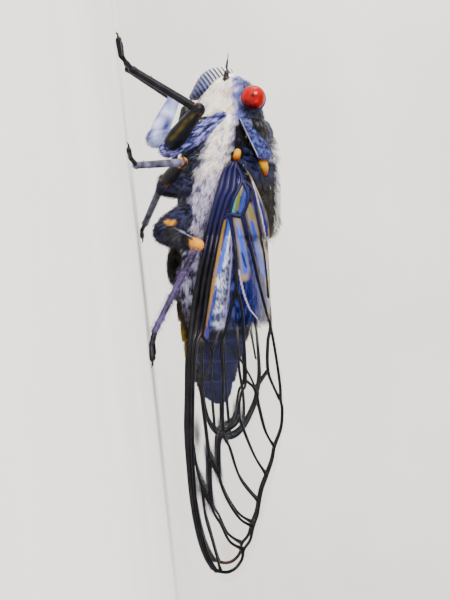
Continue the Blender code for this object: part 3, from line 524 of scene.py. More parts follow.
def put_in_order(parts, spot):
    """Sort by place: operators leave the order to chance, and hair is sown by it."""
    ranked = sorted(parts, key=lambda part: tuple(spot(part)))
    rank = {part: index for index, part in enumerate(ranked)}
    parts.sort(key=rank.get)


def finish_piece(bm, name, finish, replaces=(), marks=None):
    """Make the object, give it its marks and material, and hang it on the frame."""
    bmesh.ops.recalc_face_normals(bm, faces=bm.faces[:])
    put_in_order(bm.verts, lambda vert: vert.co)
    put_in_order(bm.faces, lambda face: face.calc_center_median())
    return finish_mesh(new_mesh(bm, name), name, finish, replaces, marks)


def finish_mesh(mesh, name, finish, replaces=(), marks=None):
    mesh.shade_smooth()
    mesh.set_sharp_from_angle(angle=SHARP_ANGLE)
    if marks is not None:
        paint(mesh, marks(*body_places(read_all(mesh.vertices, "co", 3))))
    mesh.materials.append(MATERIALS[finish])
    piece = bpy.data.objects.new(name, mesh)
    bpy.context.scene.collection.objects.link(piece)
    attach(piece, "root")
    if replaces:
        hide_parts(*replaces)
    return piece


def paint(mesh, colours):
    """Store one colour for each point as the piece's marks."""
    layer = mesh.attributes.new("mark", "FLOAT_COLOR", "POINT")
    if colours.shape[1] == 3:
        colours = np.hstack([colours, np.ones((len(colours), 1))])
    layer.data.foreach_set("color", colours.astype(np.float32).ravel())


def blend(first, second, share):
    """Mix two colours, as hex codes, linear colours or arrays, by an array of shares."""
    first, second = (np.asarray(linear(tone) if isinstance(tone, str) else tone)
                     for tone in (first, second))
    share = np.asarray(share).reshape(-1, 1)
    return first * (1 - share) + second * share


def section_ring(sections, along, around, swell):
    """One cross-section of the body, with a swelling of its surface or None."""
    bottom, middle, top, half_width = read_table(sections, along)
    ring = []
    for i in range(around):
        angle = 2 * math.pi * i / around
        extra = swell(along, angle) if swell else 0.0
        reach = (top - middle if math.sin(angle) > 0 else middle - bottom) + extra
        out = (half_width + extra) * math.cos(angle)
        ring.append(place(along, out, middle + reach * math.sin(angle)))
    return ring


def body_rings(sections, start, end, count, around, swell):
    """Rings along a plate of the body, its ends drawn in so that no edge is square."""
    rings = []
    for k in range(count):
        along = start + (end - start) * k / (count - 1)
        rings.append(section_ring(sections, along, around, swell))
    for index, step in ((0, -1), (-1, 1)):
        edge = rings[index]
        centre = sum(edge, Vector()) / around
        shift = heading(step * PLATE_DOME, 0, 0)
        inner = [point.lerp(centre, 0.35 * PLATE_DOME) + shift for point in edge]
        if index == 0:
            rings.insert(0, inner)
        else:
            rings.append(inner)
    return rings


def body_plate(name, sections, span, rings, around, cuts, replaced, marks, swell=None):
    """One plate of the body, kept on one side of each flat cut."""
    bm = bmesh.new()
    loft(bm, body_rings(sections, *span, rings, around, swell))
    for point, normal in cuts:
        keep_side(bm, point, normal)
    return finish_piece(bm, name, "skin", [replaced], marks)


def tube_rings(path, radii, sides, squash=1.0, normals=None):
    """Rings round a path of world points, radii in millimetres, squashed along normals."""
    rings = []
    side = None
    for i, (point, radius) in enumerate(zip(path, radii)):
        ahead = path[min(i + 1, len(path) - 1)] - path[max(i - 1, 0)]
        direction = ahead.normalized()
        if normals is not None:
            side = normals[i]
        elif side is None:
            side = direction.orthogonal()
        side = (side - direction * side.dot(direction)).normalized()
        across = direction.cross(side)
        rings.append([
            point + radius * MM * (side * math.cos(a) * squash + across * math.sin(a))
            for a in (2 * math.pi * k / sides for k in range(sides))])
    return rings


def rod(bm, points, radii, sides, step=0.35):
    """A smooth rod through a few points, with rounded ends."""
    path = smooth_path(points, step * MM)
    last = len(path) - 1
    stations, values = zip(*radii)
    widths = [float(np.interp(i / last, stations, values)) for i in range(last + 1)]
    start = (path[1] - path[0]).normalized()
    end = (path[-1] - path[-2]).normalized()
    caps = (0.97, 0.8, 0.45)
    head = [(path[0] - start * widths[0] * MM * c, widths[0] * math.sqrt(1 - c * c))
            for c in caps]
    tail = [(path[-1] + end * widths[-1] * MM * c, widths[-1] * math.sqrt(1 - c * c))
            for c in reversed(caps)]
    path = [p for p, _ in head] + path + [p for p, _ in tail]
    widths = [w for _, w in head] + widths + [w for _, w in tail]
    loft(bm, tube_rings(path, widths, sides))


def ball(bm, centre, radii, segments, rings):
    bm.loops.layers.uv.verify()
    made = bmesh.ops.create_uvsphere(
        bm, u_segments=segments, v_segments=rings, radius=MM, calc_uvs=True)
    matrix = Matrix.Translation(centre) @ Matrix.Rotation(BODY_PITCH, 4, "Y")
    matrix = matrix @ Matrix.Diagonal((*radii, 1))
    bmesh.ops.transform(bm, matrix=matrix, verts=made["verts"])


# Markings, shared by the skin and its hair

INK = "#050508"
STEEL = "#1C2136"
SILVER = "#8288A8"
LAVENDER = "#5C64A8"
CREAM = "#FBF4E8"
BROWN = "#2E2926"
ORANGE = "#C08408"
# Orange spots on the outer side of the middle and rear hips: along, up
HIP_SPOTS = [(11.6, -5.9), (15.9, -5.6)]
# The pale stripe from cheek to wing: along, up, half width
STRIPE = [(1.0, 0.2, 1.2), (3.5, 0.0, 1.35), (5.3, -0.05, 1.15), (8.7, -0.75, 1.15),
          (11.2, -1.65, 1.25), (13.8, -2.3, 1.15), (17.0, -3.1, 1.05)]


def mottle(along, out, up, size, seed=0.0):
    """Soft noise from 0 to 1 at body places, alike on the skin and its hair."""
    values = [noise.noise(Vector((a / size + seed, o / size, u / size)))
              for a, o, u in zip(along, out, up)]
    return np.clip(np.array(values) * 0.9 + 0.5, 0, 1)


def strands(along, out, up):
    """Noise drawn out along the body, as locks of hair lie."""
    return mottle(along / 4.5 - up * 0.1, out, up, 0.22, 2.0)


def stripe_share(along, out, up):
    """How far a place lies in the pale stripe from cheek to wing."""
    stations, heights, widths = zip(*STRIPE)
    middle = np.interp(along, stations, heights)
    width = np.interp(along, stations, widths)
    ragged = (mottle(along, out, up, 0.8) - 0.5) * 0.5 + (strands(along, out, up) - 0.5) * 0.7
    away = np.abs(up - middle) / width + ragged
    return 1 - smoothstep(0.75, 1.25, away)


def flank_marks(along, out, up):
    """Sides: a cream stripe, streaks of silver-blue below it, near black above it."""
    lines = smoothstep(0.5, 0.8, strands(along, out, up))
    patches = mottle(along, out, up, 1.6)
    low = blend(blend(INK, STEEL, patches), SILVER, lines * (0.15 + 0.6 * patches))
    # Near black above the stripe, partly painted shade in the hollow under the plates above
    base = blend(INK, low, 1 - smoothstep(-1.6, -0.6, up))
    furrows = 1 - strands(along, out, up)
    rear = smoothstep(9.0, 12.5, along)
    cream = blend(CREAM, "#BCB8E4", rear * 0.75)
    # Darker lavender where the strands part: painted shade between locks of hair
    cream = blend(cream, "#8C88BC", smoothstep(0.55, 0.8, furrows))
    cream = blend(cream, "#4C4870", smoothstep(0.6, 0.85, furrows) * rear)
    return blend(base, cream, stripe_share(along, out, up))


def hip_marks(along, out, up):
    """Hips: blue-black under fine streaks of lavender down, with orange spots outside."""
    lines = mottle((along * 0.5 - up * 0.85) / 4.5, out, along * 0.85 + up * 0.5, 0.17, 5.0)
    fore = 1 - smoothstep(8.8, 9.6, along)
    base = blend(INK, "#14182C", mottle(along, out, up, 1.2))
    base = blend(base, "#2C3470", fore * mottle(along, out, up, 0.6))
    base = blend(base, "#9C9CE8", smoothstep(0.42, 0.7, lines) * (0.08 + 0.82 * fore))
    for a, u in HIP_SPOTS:
        away = np.hypot(along - a, up - u) + (mottle(along, out, up, 0.4) - 0.5) * 0.3
        base = blend(base, ORANGE, (1 - smoothstep(0.34, 0.48, away)) * (np.abs(out) > 4.9))
    return base


def pale_hip_marks(along, out, up):
    """The right foreleg's base, white with down."""
    return blend("#202C70", "#B4BCE6", mottle(along, out, up, 1.1))


def head_marks(along, out, up):
    """Head: cream cheeks, their lavender edge painted shade, blue-grey crown, dark behind the eye.
    """
    lines = strands(along, out, up)
    crown = blend("#191C2C", "#4A5074", lines)
    behind = blend(INK, "#3A3F58", lines)
    crown = blend(crown, behind, smoothstep(3.4, 4.4, along))
    wander = (mottle(along, out, up, 0.6) - 0.5) * 0.8
    edge = 1 - smoothstep(1.3, 2.1, up + wander)
    # The lavender edge between cheek and crown is painted shade
    base = blend(crown, LAVENDER, edge)
    cream = blend(CREAM, "#DCC4B8", smoothstep(0.6, 0.9, mottle(along, out, up, 1.0)))
    # Lavender streaks in the cream paint the shade between locks of hair
    cream = blend(cream, "#9C98C0", smoothstep(0.65, 0.85, lines) * 0.7)
    return blend(base, cream, 1 - smoothstep(0.7, 1.4, up + wander))


def above_collar_edge(along, up):
    """Height of a place above the slanting lower edge of the collar plate."""
    low, high = PRONOTUM_EDGE
    return up - low[1] - (high[1] - low[1]) / (high[0] - low[0]) * (along - low[0])


def pronotum_marks(along, out, up):
    """Collar plate: a dark lobe in front, a blue band below it, and a pale lower rim."""
    lines = strands(along, out, up)
    base = blend("#0A0C18", "#2C3250", mottle(along, out, up, 0.9))
    base = blend(base, "#7A80A0", smoothstep(0.62, 0.85, lines) * 0.6)
    base = blend(base, BROWN, smoothstep(3.6, 5.0, up) * 0.4)
    height = above_collar_edge(along, up)
    streaks = mottle(along / 7.0, out / 3.0, height, 0.1, 6.0)
    blue = blend("#0E1438", "#5058A0", smoothstep(0.3, 0.8, streaks))
    wander = (mottle(along, out, up, 0.7) - 0.5) * 0.4
    band = height + wander - 0.55 - 0.35 * (along - 5.3)
    base = blend(base, blue, 1 - smoothstep(-0.15, 0.25, band))
    lobe = np.hypot((along - 6.0) / 1.4, (height - 1.8) / 0.85) + wander
    dark = blend("#060608", "#4A4A4C", smoothstep(0.6, 0.85, lines))
    base = blend(base, dark, 1 - smoothstep(0.75, 1.05, lobe))
    return blend(base, "#C8C4CC", 1 - smoothstep(0.0, 0.05, height))


def mesonotum_marks(along, out, up):
    """Back plate: brown-black with grey down, paler at its rear and beside the wings."""
    lines = strands(along, out, up)
    base = blend("#030304", "#0E0D0C", mottle(along, out, up, 0.8))
    base = blend(base, "#4A463E", smoothstep(0.62, 0.88, lines) * 0.35)
    base = blend(base, "#2A3052", (1 - smoothstep(10.5, 12.5, along)) * lines)
    pale = smoothstep(15.2, 16.6, along) * (1 - smoothstep(1.2, 2.6, np.abs(out)))
    return blend(base, "#8F8676", np.clip(pale, 0, 1) * 0.6)


def belly_marks(along, out, up):
    """Abdomen: blue-black rings with whitish down on their rear edges and below."""
    phase = np.mod((along - ABDOMEN_START) / TERGITE_LENGTH, 1.0)
    ragged = (mottle(along, out, up, 0.5, seed=4.0) - 0.5) * 0.9
    patch = np.exp(-((phase - 0.5) / 0.28) ** 2 - ((up + 0.7) / 0.65) ** 2) + ragged * 0.6
    base = blend("#0A0A22", "#222250", mottle(along, out, up, 1.2))
    base = blend(base, "#34386A", smoothstep(0.85, 0.97, phase) * 0.7)
    patch = patch * (1 - smoothstep(26.0, 28.5, along))
    base = blend(base, "#9498C0", smoothstep(0.5, 0.9, patch))
    lines = strands(along, out, up)
    silver = blend("#16142A", "#C4C4EC", smoothstep(0.3, 0.8, lines))
    silver = blend(silver, "#20140A", smoothstep(22.5, 26.0, along) * 0.8)
    base = blend(base, silver, 1 - smoothstep(-3.4, -2.2, up))
    earth = blend("#0A0704", "#2C1C0C", lines)
    depth = up - 0.25 * np.clip(along - 23.0, 0, None) + ragged * 0.3
    base = blend(base, earth, 1 - smoothstep(-5.0, -4.4, depth))
    # The lowest line of the belly rises by 0.19 mm in each mm behind its fullest ring
    keel = up + 4.9 - 0.19 * (along - 24.9)
    olive = (1 - smoothstep(0.1, 0.5, keel + ragged * 0.2)) * smoothstep(25.0, 27.0, along)
    return blend(base, "#8A7014", olive * 0.8)


def cover_marks(along, out, up):
    """Plates under the belly's front: brown-black with sparse grey down."""
    return blend("#080604", "#3A342E", smoothstep(0.55, 0.9, strands(along, out, up)))


def face_marks(along, out, up):
    """Swollen face: pale down on each ridge's crest over blue-black furrows."""
    low, high = Vector(CLYPEUS_LOW), Vector(CLYPEUS_HIGH)
    axis = (high - low) / (high - low).length_squared
    share = (along - low.x) * axis.x + (up - low.y) * axis.y
    crest = 0.5 - 0.5 * np.cos(2 * math.pi * share * CLYPEUS_RIDGES)
    shade = blend("#0E1022", "#262C52", mottle(along, out, up, 0.7))
    pale = blend("#6A70A0", "#D8D4D0", smoothstep(0.35, 0.85, share))
    strength = smoothstep(0.3, 0.8, crest) * (0.4 + 0.6 * smoothstep(0.1, 0.6, share))
    return blend(shade, pale, strength)


def leg_marks(joints, dark, light, side=LEFT, stripe=()):
    """Leg in two tones with orange joints and one stripe, as a function of place."""
    spots = [body_places(np.array([joint])) for joint, _ in joints]

    def marks(along, out, up):
        base = blend(dark, light, mottle(along, out, up, 0.9))
        if stripe:
            start, end = (np.array(spot) for spot in stripe[:2])
            half, low, high = stripe[2:]
            span = end - start
            here = np.stack([along, out * side, up], axis=-1) - start
            share = np.clip(here @ span / (span @ span), 0, 1)
            away = np.linalg.norm(here - share[..., None] * span, axis=-1)
            line = blend(low, high, mottle(along, out, up, 0.6))
            ragged = (mottle(along, out, up, 0.4) - 0.5) * half
            base = blend(base, line, 1 - smoothstep(half * 0.7, half * 1.2, away + ragged))
        for (a, o, u), (_, reach) in zip(spots, joints):
            away = np.sqrt((along - a) ** 2 + (out - o) ** 2 + (up - u) ** 2)
            ragged = (mottle(along, out, up, 0.35) - 0.5) * 0.5
            wax = blend(ORANGE, "#C07C30", mottle(along, out, up, 0.3))
            base = blend(base, wax, 1 - smoothstep(0.75, 1.05, away / reach + ragged))
        return base
    return marks


# Head

def eye_marks(along, out, up):
    """Red lens, painted darker below as shade, with the dark spot that looks back at the viewer."""
    a, _, u = EYE_PLACE
    red = blend("#800000", "#9C0000", mottle(along, out, up, 0.7))
    # Painted shade: darker towards the lens's rear and underside
    red = blend(red, "#200002", smoothstep(0.4, 1.15, along - a - 0.35 * (up - u)) * 0.9)
    pupil = np.sqrt((along - a + 0.1) ** 2 + (up - u + 0.12) ** 2)
    return blend(red, "#1A0004", 1 - smoothstep(0.08, 0.26, pupil))


def build_head():
    head = body_plate("head_capsule", HEAD_SECTIONS, (0.45, 5.15), 30, 64, [],
                      "head", head_marks)

    low, high = Vector(CLYPEUS_LOW), Vector(CLYPEUS_HIGH)
    axis = (high - low).normalized()
    outward = Vector((-axis.y, axis.x))
    rings = []
    last = CLYPEUS_RIDGES * RINGS_PER_RIDGE
    around = 48
    for k in range(last + 1):
        t = k / last
        swell = read_table(CLYPEUS_BULGE, t)[0]
        fullness = math.sqrt(max(0.04, 1 - (2 * t - 1) ** 2))
        crest = 0.5 - 0.5 * math.cos(2 * math.pi * t * CLYPEUS_RIDGES)
        centre = low.lerp(high, t)
        ring = []
        for i in range(around):
            angle = 2 * math.pi * i / around
            front = max(math.sin(angle), 0.0)
            groove = -CLYPEUS_FURROW * (1 - crest) * min(1.0, front * 3) * fullness
            groove -= (CLYPEUS_MIDDLE_FURROW * fullness
                       * math.exp(-(math.cos(angle) / 0.12) ** 2) * front)
            depth = (swell if math.sin(angle) > 0 else CLYPEUS_DEPTH * fullness) + groove
            spot = centre + outward * depth * math.sin(angle)
            out = (CLYPEUS_HALF_WIDTH * fullness + groove) * math.cos(angle)
            ring.append(place(spot.x, out, spot.y))
        rings.append(ring)
    bm = bmesh.new()
    loft(bm, rings)
    finish_piece(bm, "swollen_face", "face", ["postclypeus"], face_marks)

    bm = bmesh.new()
    rod(bm, [place(4.0, 0, -4.0), place(6.0, 0, -4.55), place(8.5, 0, -5.05),
             place(11.4, 0, -5.6)], [(0, 0.55), (0.3, 0.42), (1, 0.22)], sides=16)
    finish_piece(bm, "beak", "chitin", ["rostrum"])

    along, out, up = EYE_PLACE
    for side, name in SIDE_NAMES.items():
        bm = bmesh.new()
        ball(bm, place(along, side * out, up), (EYE_RADIUS,) * 3, 48, 32)
        finish_piece(bm, "eye_lens_" + name, "eye", ["eye_" + name], eye_marks)
        bm = bmesh.new()
        centre = place(along + 0.12, side * (out - 0.3), up - 0.05)
        ball(bm, centre, (EYE_RADIUS + 0.14,) * 3, 40, 28)
        axis = heading(0.25, side * 0.9, 0.1).normalized()
        keep_side(bm, centre + axis * 0.15 * MM, -axis)
        finish_piece(bm, "eye_socket_" + name, "skin", (), head_marks)
        bm = bmesh.new()
        rod(bm, [place(1.7, side * 2.75, 0.1), place(0.95, side * 3.1, 0.15)],
            [(0, 0.4), (1, 0.36)], sides=16, step=0.1)
        rod(bm, [place(0.8, side * 3.14, 0.15), place(0.4, side * 3.2, 0.17)],
            [(0, 0.29), (1, 0.25)], sides=16, step=0.1)
        rod(bm, [place(0.3, side * 3.22, 0.2), place(-0.6, side * 3.32, 0.26),
                 place(-1.64, side * 3.4, 0.36)], [(0, 0.12), (0.4, 0.08), (1, 0.03)],
            sides=10, step=0.2)
        finish_piece(bm, "feeler_" + name, "chitin", ["antenna_" + name])
    bm = bmesh.new()
    for a, o, u in ((1.6, 0.0, 2.95), (2.5, 0.55, 3.42), (2.5, -0.55, 3.42)):
        ball(bm, place(a, o, u), (0.24, 0.24, 0.24), 20, 14)
    finish_piece(bm, "ocelli", "eye", (), eye_marks)
    return head


# Thorax and abdomen

def build_body():
    low, high = PRONOTUM_EDGE
    slope = (high[1] - low[1]) / (high[0] - low[0])
    edge = place(low[0], 0, low[1])
    normal = (place(low[0] - slope, 0, low[1] + 1) - edge).normalized()

    def collar(along, angle):
        """Furrows that fan over the plate and the raised rim at its rear."""
        fan = math.exp(-((along - 6.6 - 0.9 * abs(math.cos(angle))) / 0.35) ** 2)
        rim = 0.12 * math.exp(-((along - 8.9) / 0.3) ** 2)
        return rim - 0.16 * fan - 0.1 * math.exp(-((along - 8.3) / 0.2) ** 2)

    bm = bmesh.new()
    loft(bm, body_rings(PRONOTUM_SECTIONS, 5.35, 9.15, 34, 96, collar))
    keep_side(bm, edge, normal)
    for rim in (0.05, 0.1):
        bmesh.ops.bisect_plane(bm, geom=bm.verts[:] + bm.edges[:] + bm.faces[:], dist=1e-7,
                               plane_co=edge + normal * rim * MM, plane_no=normal)
    pronotum = finish_piece(bm, "collar_plate", "skin", ["pronotum"], pronotum_marks)

    front = body_plate(
        "fore_flanks", BODY_SECTIONS, (5.0, 9.5), 26, 80,
        [(edge - normal * PLATE_GAP * MM, -normal)], "prothorax", flank_marks)

    back_edge = place(BODY_SPLIT, 0, NOTUM_EDGE)
    back_normal = (place(BODY_SPLIT, 0, NOTUM_EDGE + 1) - back_edge).normalized()

    def back(along, angle):
        """Shallow furrows and the raised cross at the rear of the back."""
        out = math.cos(angle) * 5.5
        if math.sin(angle) <= 0:
            return 0.0
        arm = abs(out) - abs(along - 16.0) * 1.15
        cross = 0.32 * math.exp(-(arm / 0.4) ** 2) * math.exp(-((along - 16.0) / 1.0) ** 2)
        furrow = 0.1 * math.exp(-((abs(out) - 1.9 + 0.12 * (along - 12)) / 0.25) ** 2)
        return cross - furrow

    mesonotum = body_plate(
        "back_plate", BODY_SECTIONS, (BODY_SPLIT + PLATE_GAP, THORAX_END), 52, 120,
        [(back_edge, back_normal)], "mesonotum", mesonotum_marks, back)
    flanks = body_plate(
        "flanks", BODY_SECTIONS, (BODY_SPLIT - PLATE_GAP, THORAX_END), 36, 80,
        [(back_edge - back_normal * PLATE_GAP * MM, -back_normal)], "thorax",
        flank_marks)

    def tergite(along, angle):
        """Each ring swells towards its rear edge, and drops sharply there."""
        phase = ((along - ABDOMEN_START) / TERGITE_LENGTH) % 1.0
        return -0.2 * (1 - phase) ** 2 - 0.12 * max(0.0, phase - 0.93) / 0.07

    abdomen = body_plate(
        "abdomen_rings", BODY_SECTIONS, (ABDOMEN_START, BODY_LENGTH), 140, 72, [],
        "abdomen", belly_marks, tergite)

    covers = []
    for side, name in SIDE_NAMES.items():
        bm = bmesh.new()
        ball(bm, place(20.2, side * 2.5, -5.1), (2.0, 2.0, 0.7), 40, 24)
        covers.append(finish_piece(bm, "belly_cover_" + name, "skin",
                                   ["operculum_" + name], cover_marks))
    return pronotum, front, mesonotum, flanks, abdomen, covers


def root_marks(along, out, up):
    """Waxy plate by the wing: yellow towards the head, burnt orange behind."""
    first = smoothstep(8.7, 9.5, along) * (along < 9.7)
    second = smoothstep(9.9, 10.9, along)
    return blend("#B88600", "#702C00", np.maximum(first, second))


def plate_marks(along, out, up):
    """Folded plates under the collar: black with a painted purple-blue sheen."""
    return blend("#020206", "#1E2150", mottle(along, out, up, 0.5) ** 2)


def build_wing_roots():
    for side, name in SIDE_NAMES.items():
        bm = bmesh.new()
        rod(bm, [place(8.75, side * 5.75, 1.25), place(9.3, side * 5.8, 1.12)],
            [(0, 0.36), (1, 0.4)], 20, step=0.15)
        rod(bm, [place(9.6, side * 4.5, 3.8), place(10.3, side * 4.4, 4.05),
                 place(10.9, side * 4.4, 4.1)], [(0, 0.46), (0.5, 0.42), (1, 0.22)], 20, step=0.15)
        finish_piece(bm, "root_spots_" + name, "spot", (), root_marks)
        bm = bmesh.new()
        for start, end, size in (((7.2, 4.8, 1.2), (8.2, 5.1, 1.6), 0.4),
                                 ((8.5, 5.2, 1.7), (8.9, 5.25, 2.7), 0.45),
                                 ((9.3, 5.25, 1.8), (9.5, 5.2, 3.1), 0.4),
                                 ((10.0, 5.1, 2.3), (10.5, 4.9, 3.3), 0.36)):
            ends = [place(a, side * o, u) for a, o, u in (start, end)]
            rod(bm, ends, [(0, size * 0.6), (0.5, size), (1, size * 0.5)], 24, step=0.15)
        finish_piece(bm, "root_plates_" + name, "skin", (), plate_marks)


# Wings

CLEAR = "#54585C"


# One wing: its edges, veins and their joints, its lie, its colours, and its film's grid
Wing = namedtuple("Wing", "low high veins joints lift inset film_marks vein_marks grid")


def wing_out(wing, along, up):
    """How far out a folded wing lies: a roof that drapes over the body."""
    ridge, slope = read_table(ROOF, along)
    roof = RIDGE_OUT + slope * (ridge - up) - wing.inset
    reach = read_table(wing.lift, along)[0]
    shell = 0.0
    if along < BODY_LENGTH + reach:
        bottom, middle, top, half_width = read_table(BODY_SECTIONS, along)
        height = (top - middle if up > middle else middle - bottom) + reach
        inside = 1 - ((up - middle) / height) ** 2
        shell = (half_width + reach) * math.sqrt(max(0.0, inside))
    return 0.5 * (roof + shell + math.sqrt((roof - shell) ** 2 + 0.36))


def wing_spot(wing, side, along, up, raised):
    """World point on a wing, raised off its surface, and the outward normal there."""
    def spot(a, u):
        return place(a, side * wing_out(wing, a, u), u)
    centre = spot(along, up)
    tailward = spot(along + 0.05, up) - spot(along - 0.05, up)
    upward = spot(along, up + 0.05) - spot(along, up - 0.05)
    normal = upward.cross(tailward).normalized()
    if normal.y * side < 0:
        normal = -normal
    return centre + normal * raised * MM, normal


def route(points, joints, step=0.4):
    return smooth_path([joints[p] if isinstance(p, str) else p for p in points], step)


def nearest(points, path):
    """Distance of each point from a path in the side view, and how far along it that is."""
    line = np.array([tuple(p)[:2] for p in path])
    best = np.full(len(points), 99.0)
    share = np.zeros(len(points))
    for index, (a, b) in enumerate(zip(line, line[1:])):
        span = b - a
        t = np.clip(((points - a) @ span) / max(span @ span, 1e-9), 0, 1)
        away = points - a - t[:, None] * span
        gap = np.hypot(away[:, 0], away[:, 1])
        closer = gap < best
        best = np.where(closer, gap, best)
        share = np.where(closer, (index + t) / (len(line) - 1), share)
    return best, share


def edge_heights(curve, stations):
    path = np.array([tuple(p) for p in smooth_path(curve, 0.3)])
    order = np.argsort(path[:, 0])
    return np.interp(stations, path[order, 0], path[order, 1])


def fore_film_marks(along, up, distance, band):
    """Tint and cover of the forewing film.

    Near the root it is nearly opaque, blue and navy with strokes of tan, ochre and azure; the
    blues stand partly for painted reflection, and pale lavender patches there are a painted
    highlight. Past the body it is clear, and smoky only beside the strong cross-veins.
    """
    points = np.column_stack([along, up])
    basal = 1 - smoothstep(25.6, 27.0, along + 0.1 * (up - 1.0))
    streaks = mottle(along / 4.0, 0 * along, up, 0.22, seed=9.0)
    lines = mottle(along / 3.0, 0 * along, up, 0.14, seed=3.0)
    # Navy to blue near the root: partly painted reflection
    colour = blend("#080A26", "#242C68", smoothstep(0.45, 0.85, streaks))
    # Pale lavender patches: a painted highlight on the film, broken up by fine noise
    painted_highlight = np.zeros(len(along))
    for a, u, long, high in ((19.9, -0.1, 1.1, 0.4), (22.2, -0.6, 1.3, 0.6),
                             (24.6, -0.8, 0.7, 0.6), (26.4, -0.7, 0.6, 0.7)):
        painted_highlight = np.maximum(painted_highlight, np.exp(-((along - a) / long) ** 2 - ((up - u) / high) ** 2))
    grain = mottle(along / 1.5, 0 * along, up, 0.5, seed=6.0)
    colour = blend(colour, "#C4C8E8",
                   painted_highlight * (0.15 + 0.85 * smoothstep(0.32, 0.68, 0.6 * lines + 0.4 * grain)))
    tan_side = smoothstep(3.3, 3.9, up - 0.12 * (along - 20.0))
    colour = blend(colour, "#5C5044", tan_side * (0.4 + 0.5 * streaks))
    colour = blend(CLEAR, colour, smoothstep(0.02, 0.3, basal))
    cover = 0.03 + 0.95 * basal
    for code, density, start_half, end_half, stops in FORE_STROKES:
        away, share = nearest(points, smooth_path([(*stop, 0) for stop in stops], 0.3))
        half = start_half + (end_half - start_half) * share
        wander = (streaks - 0.5) * 0.35
        stroke = 1 - smoothstep(0.35, 1.4, away / half + wander)
        colour = blend(colour, code, stroke)
        cover = np.maximum(cover, density * stroke)
    smoke = np.zeros(len(along))
    for name in ("radial_meet", "sector_meet", "sector_bend", "median_bend", "upper_fork",
                 "median_corner"):
        a, u = FORE_JOINTS[name]
        smoke = np.maximum(smoke, np.exp(-((along - a) ** 2 + (up - u) ** 2) / 0.7))
    smoke = smoke * (1 - smoothstep(0.2, 0.5, distance))
    dusk = np.exp(-((along - 37.7) / 1.3) ** 2 - ((up + 2.85) / 0.3) ** 2) * 0.7
    warm = np.exp(-((along - 50.0) / 1.4) ** 2 - ((up - 0.3) / 0.8) ** 2) * 0.05
    colour = blend(colour, "#A06A30", warm / (warm + 0.03))
    cover = cover + warm
    beside_band = (1 - smoothstep(-0.05, 0.1, up - band)) * (along < 51.4)
    dark = np.maximum(np.maximum(smoke, dusk), beside_band)
    colour = blend(colour, "#08080C", dark)
    cover = np.clip(cover + 0.75 * dark, 0, 1)
    return np.hstack([colour, cover[:, None]])


def hind_film_marks(along, up, distance, band):
    """Tint and cover of the hindwing film: tan beside the veins near the root."""
    rim = (1 - smoothstep(0.1, 0.35, distance)) * (1 - smoothstep(24.0, 29.0, along))
    colour = blend(CLEAR, "#6E6252", rim)
    cover = 0.015 + 0.35 * rim
    return np.hstack([colour, cover[:, None]])


def vein_marks(along, out, up):
    """Black, with navy near the root that paints a blue sheen."""
    root = 1 - smoothstep(12.5, 21.0, along)
    black = blend("#030306", "#100D14", mottle(along, out, up, 0.8) ** 2)
    # Painted blue sheen near the root, on the veins and the black front band
    return blend(black, "#1A1A50", root * 0.5)


def hind_vein_marks(along, out, up):
    """Tan near the root, black towards the tip."""
    return blend("#8F7F6E", "#0B0A0E", smoothstep(25.0, 29.0, along))


FORE_WING = Wing(FORE_COSTAL, FORE_HIND, FORE_VEINS, FORE_JOINTS, FORE_LIFT, 0.0,
                 fore_film_marks, vein_marks, (320, 64))
HIND_WING = Wing(HIND_COSTAL, HIND_TRAILING, HIND_VEINS, HIND_JOINTS, HIND_LIFT, HIND_INSET,
                 hind_film_marks, hind_vein_marks, (110, 30))


def build_film(name, wing, side):
    """Thin film over the whole wing, pillowed between the veins."""
    columns, rows = wing.grid
    start, end = wing.low[0][0], wing.low[-1][0]
    share = np.linspace(0, 1, columns + 1)
    # Columns stand closer together towards both ends
    stations = start + (end - start) * (0.5 - 0.5 * np.cos(math.pi * share) * 0.35
                                        - 0.65 * (0.5 - share))
    stations = start + (stations - stations[0]) / (stations[-1] - stations[0]) * (end - start)
    lower, upper = edge_heights(wing.low, stations), edge_heights(wing.high, stations)
    bm = bmesh.new()
    made = bmesh.ops.create_grid(bm, x_segments=columns, y_segments=rows, size=0.5)["verts"]
    spots = []
    for vert in made:
        i = round((vert.co.x + 0.5) * columns)
        t = vert.co.y + 0.5
        spots.append((stations[i], lower[i] + (upper[i] - lower[i]) * t))
    spots = np.array(spots)
    paths = [route(points, wing.joints) for points, _, _ in wing.veins]
    distance = np.min([nearest(spots, path)[0] for path in paths], axis=0)
    band = edge_heights(COSTAL_BAND_EDGE, spots[:, 0])
    if wing.film_marks is fore_film_marks:
        distance = np.minimum(distance, np.clip(spots[:, 1] - band, 0, None))
    for vert, (along, up), away in zip(made, spots, distance):
        pillow = 0.1 * (1 - math.exp(-away / 0.5)) - MEMBRANE_THICKNESS
        vert.co = wing_spot(wing, side, along, up, pillow)[0]
    bmesh.ops.recalc_face_normals(bm, faces=bm.faces[:])
    mesh = new_mesh(bm, name)
    paint(mesh, wing.film_marks(spots[:, 0], spots[:, 1], distance, band))
    film = finish_mesh(mesh, name, "film")
    wall = film.modifiers.new("film thickness", "SOLIDIFY")
    wall.thickness = MEMBRANE_THICKNESS * MM
    wall.offset = 0.0


def build_veins(name, wing, side, replaced):
    """Flattened rods along every vein, swollen where one meets the border vein."""
    bm = bmesh.new()
    for points, start_width, end_width in wing.veins:
        path = route(points, wing.joints, VEIN_STEP)
        last = len(path) - 1
        meets_border = isinstance(points[-1], str) and points[-1].startswith("edge")
        spots, normals, widths = [], [], []
        for i, point in enumerate(path):
            spot, normal = wing_spot(wing, side, point.x, point.y, VEIN_RISE)
            spots.append(spot)
            normals.append(normal)
            width = start_width + (end_width - start_width) * i / last
            if meets_border:
                width *= 1 + 0.75 * math.exp(-((last - i) * VEIN_STEP / 0.75) ** 2)
            widths.append(width * (0.55 if i in (0, last) else 1.0))
        loft(bm, tube_rings(spots, widths, VEIN_SIDES, VEIN_SQUASH, normals))
    finish_piece(bm, name, "vein", [replaced], wing.vein_marks)


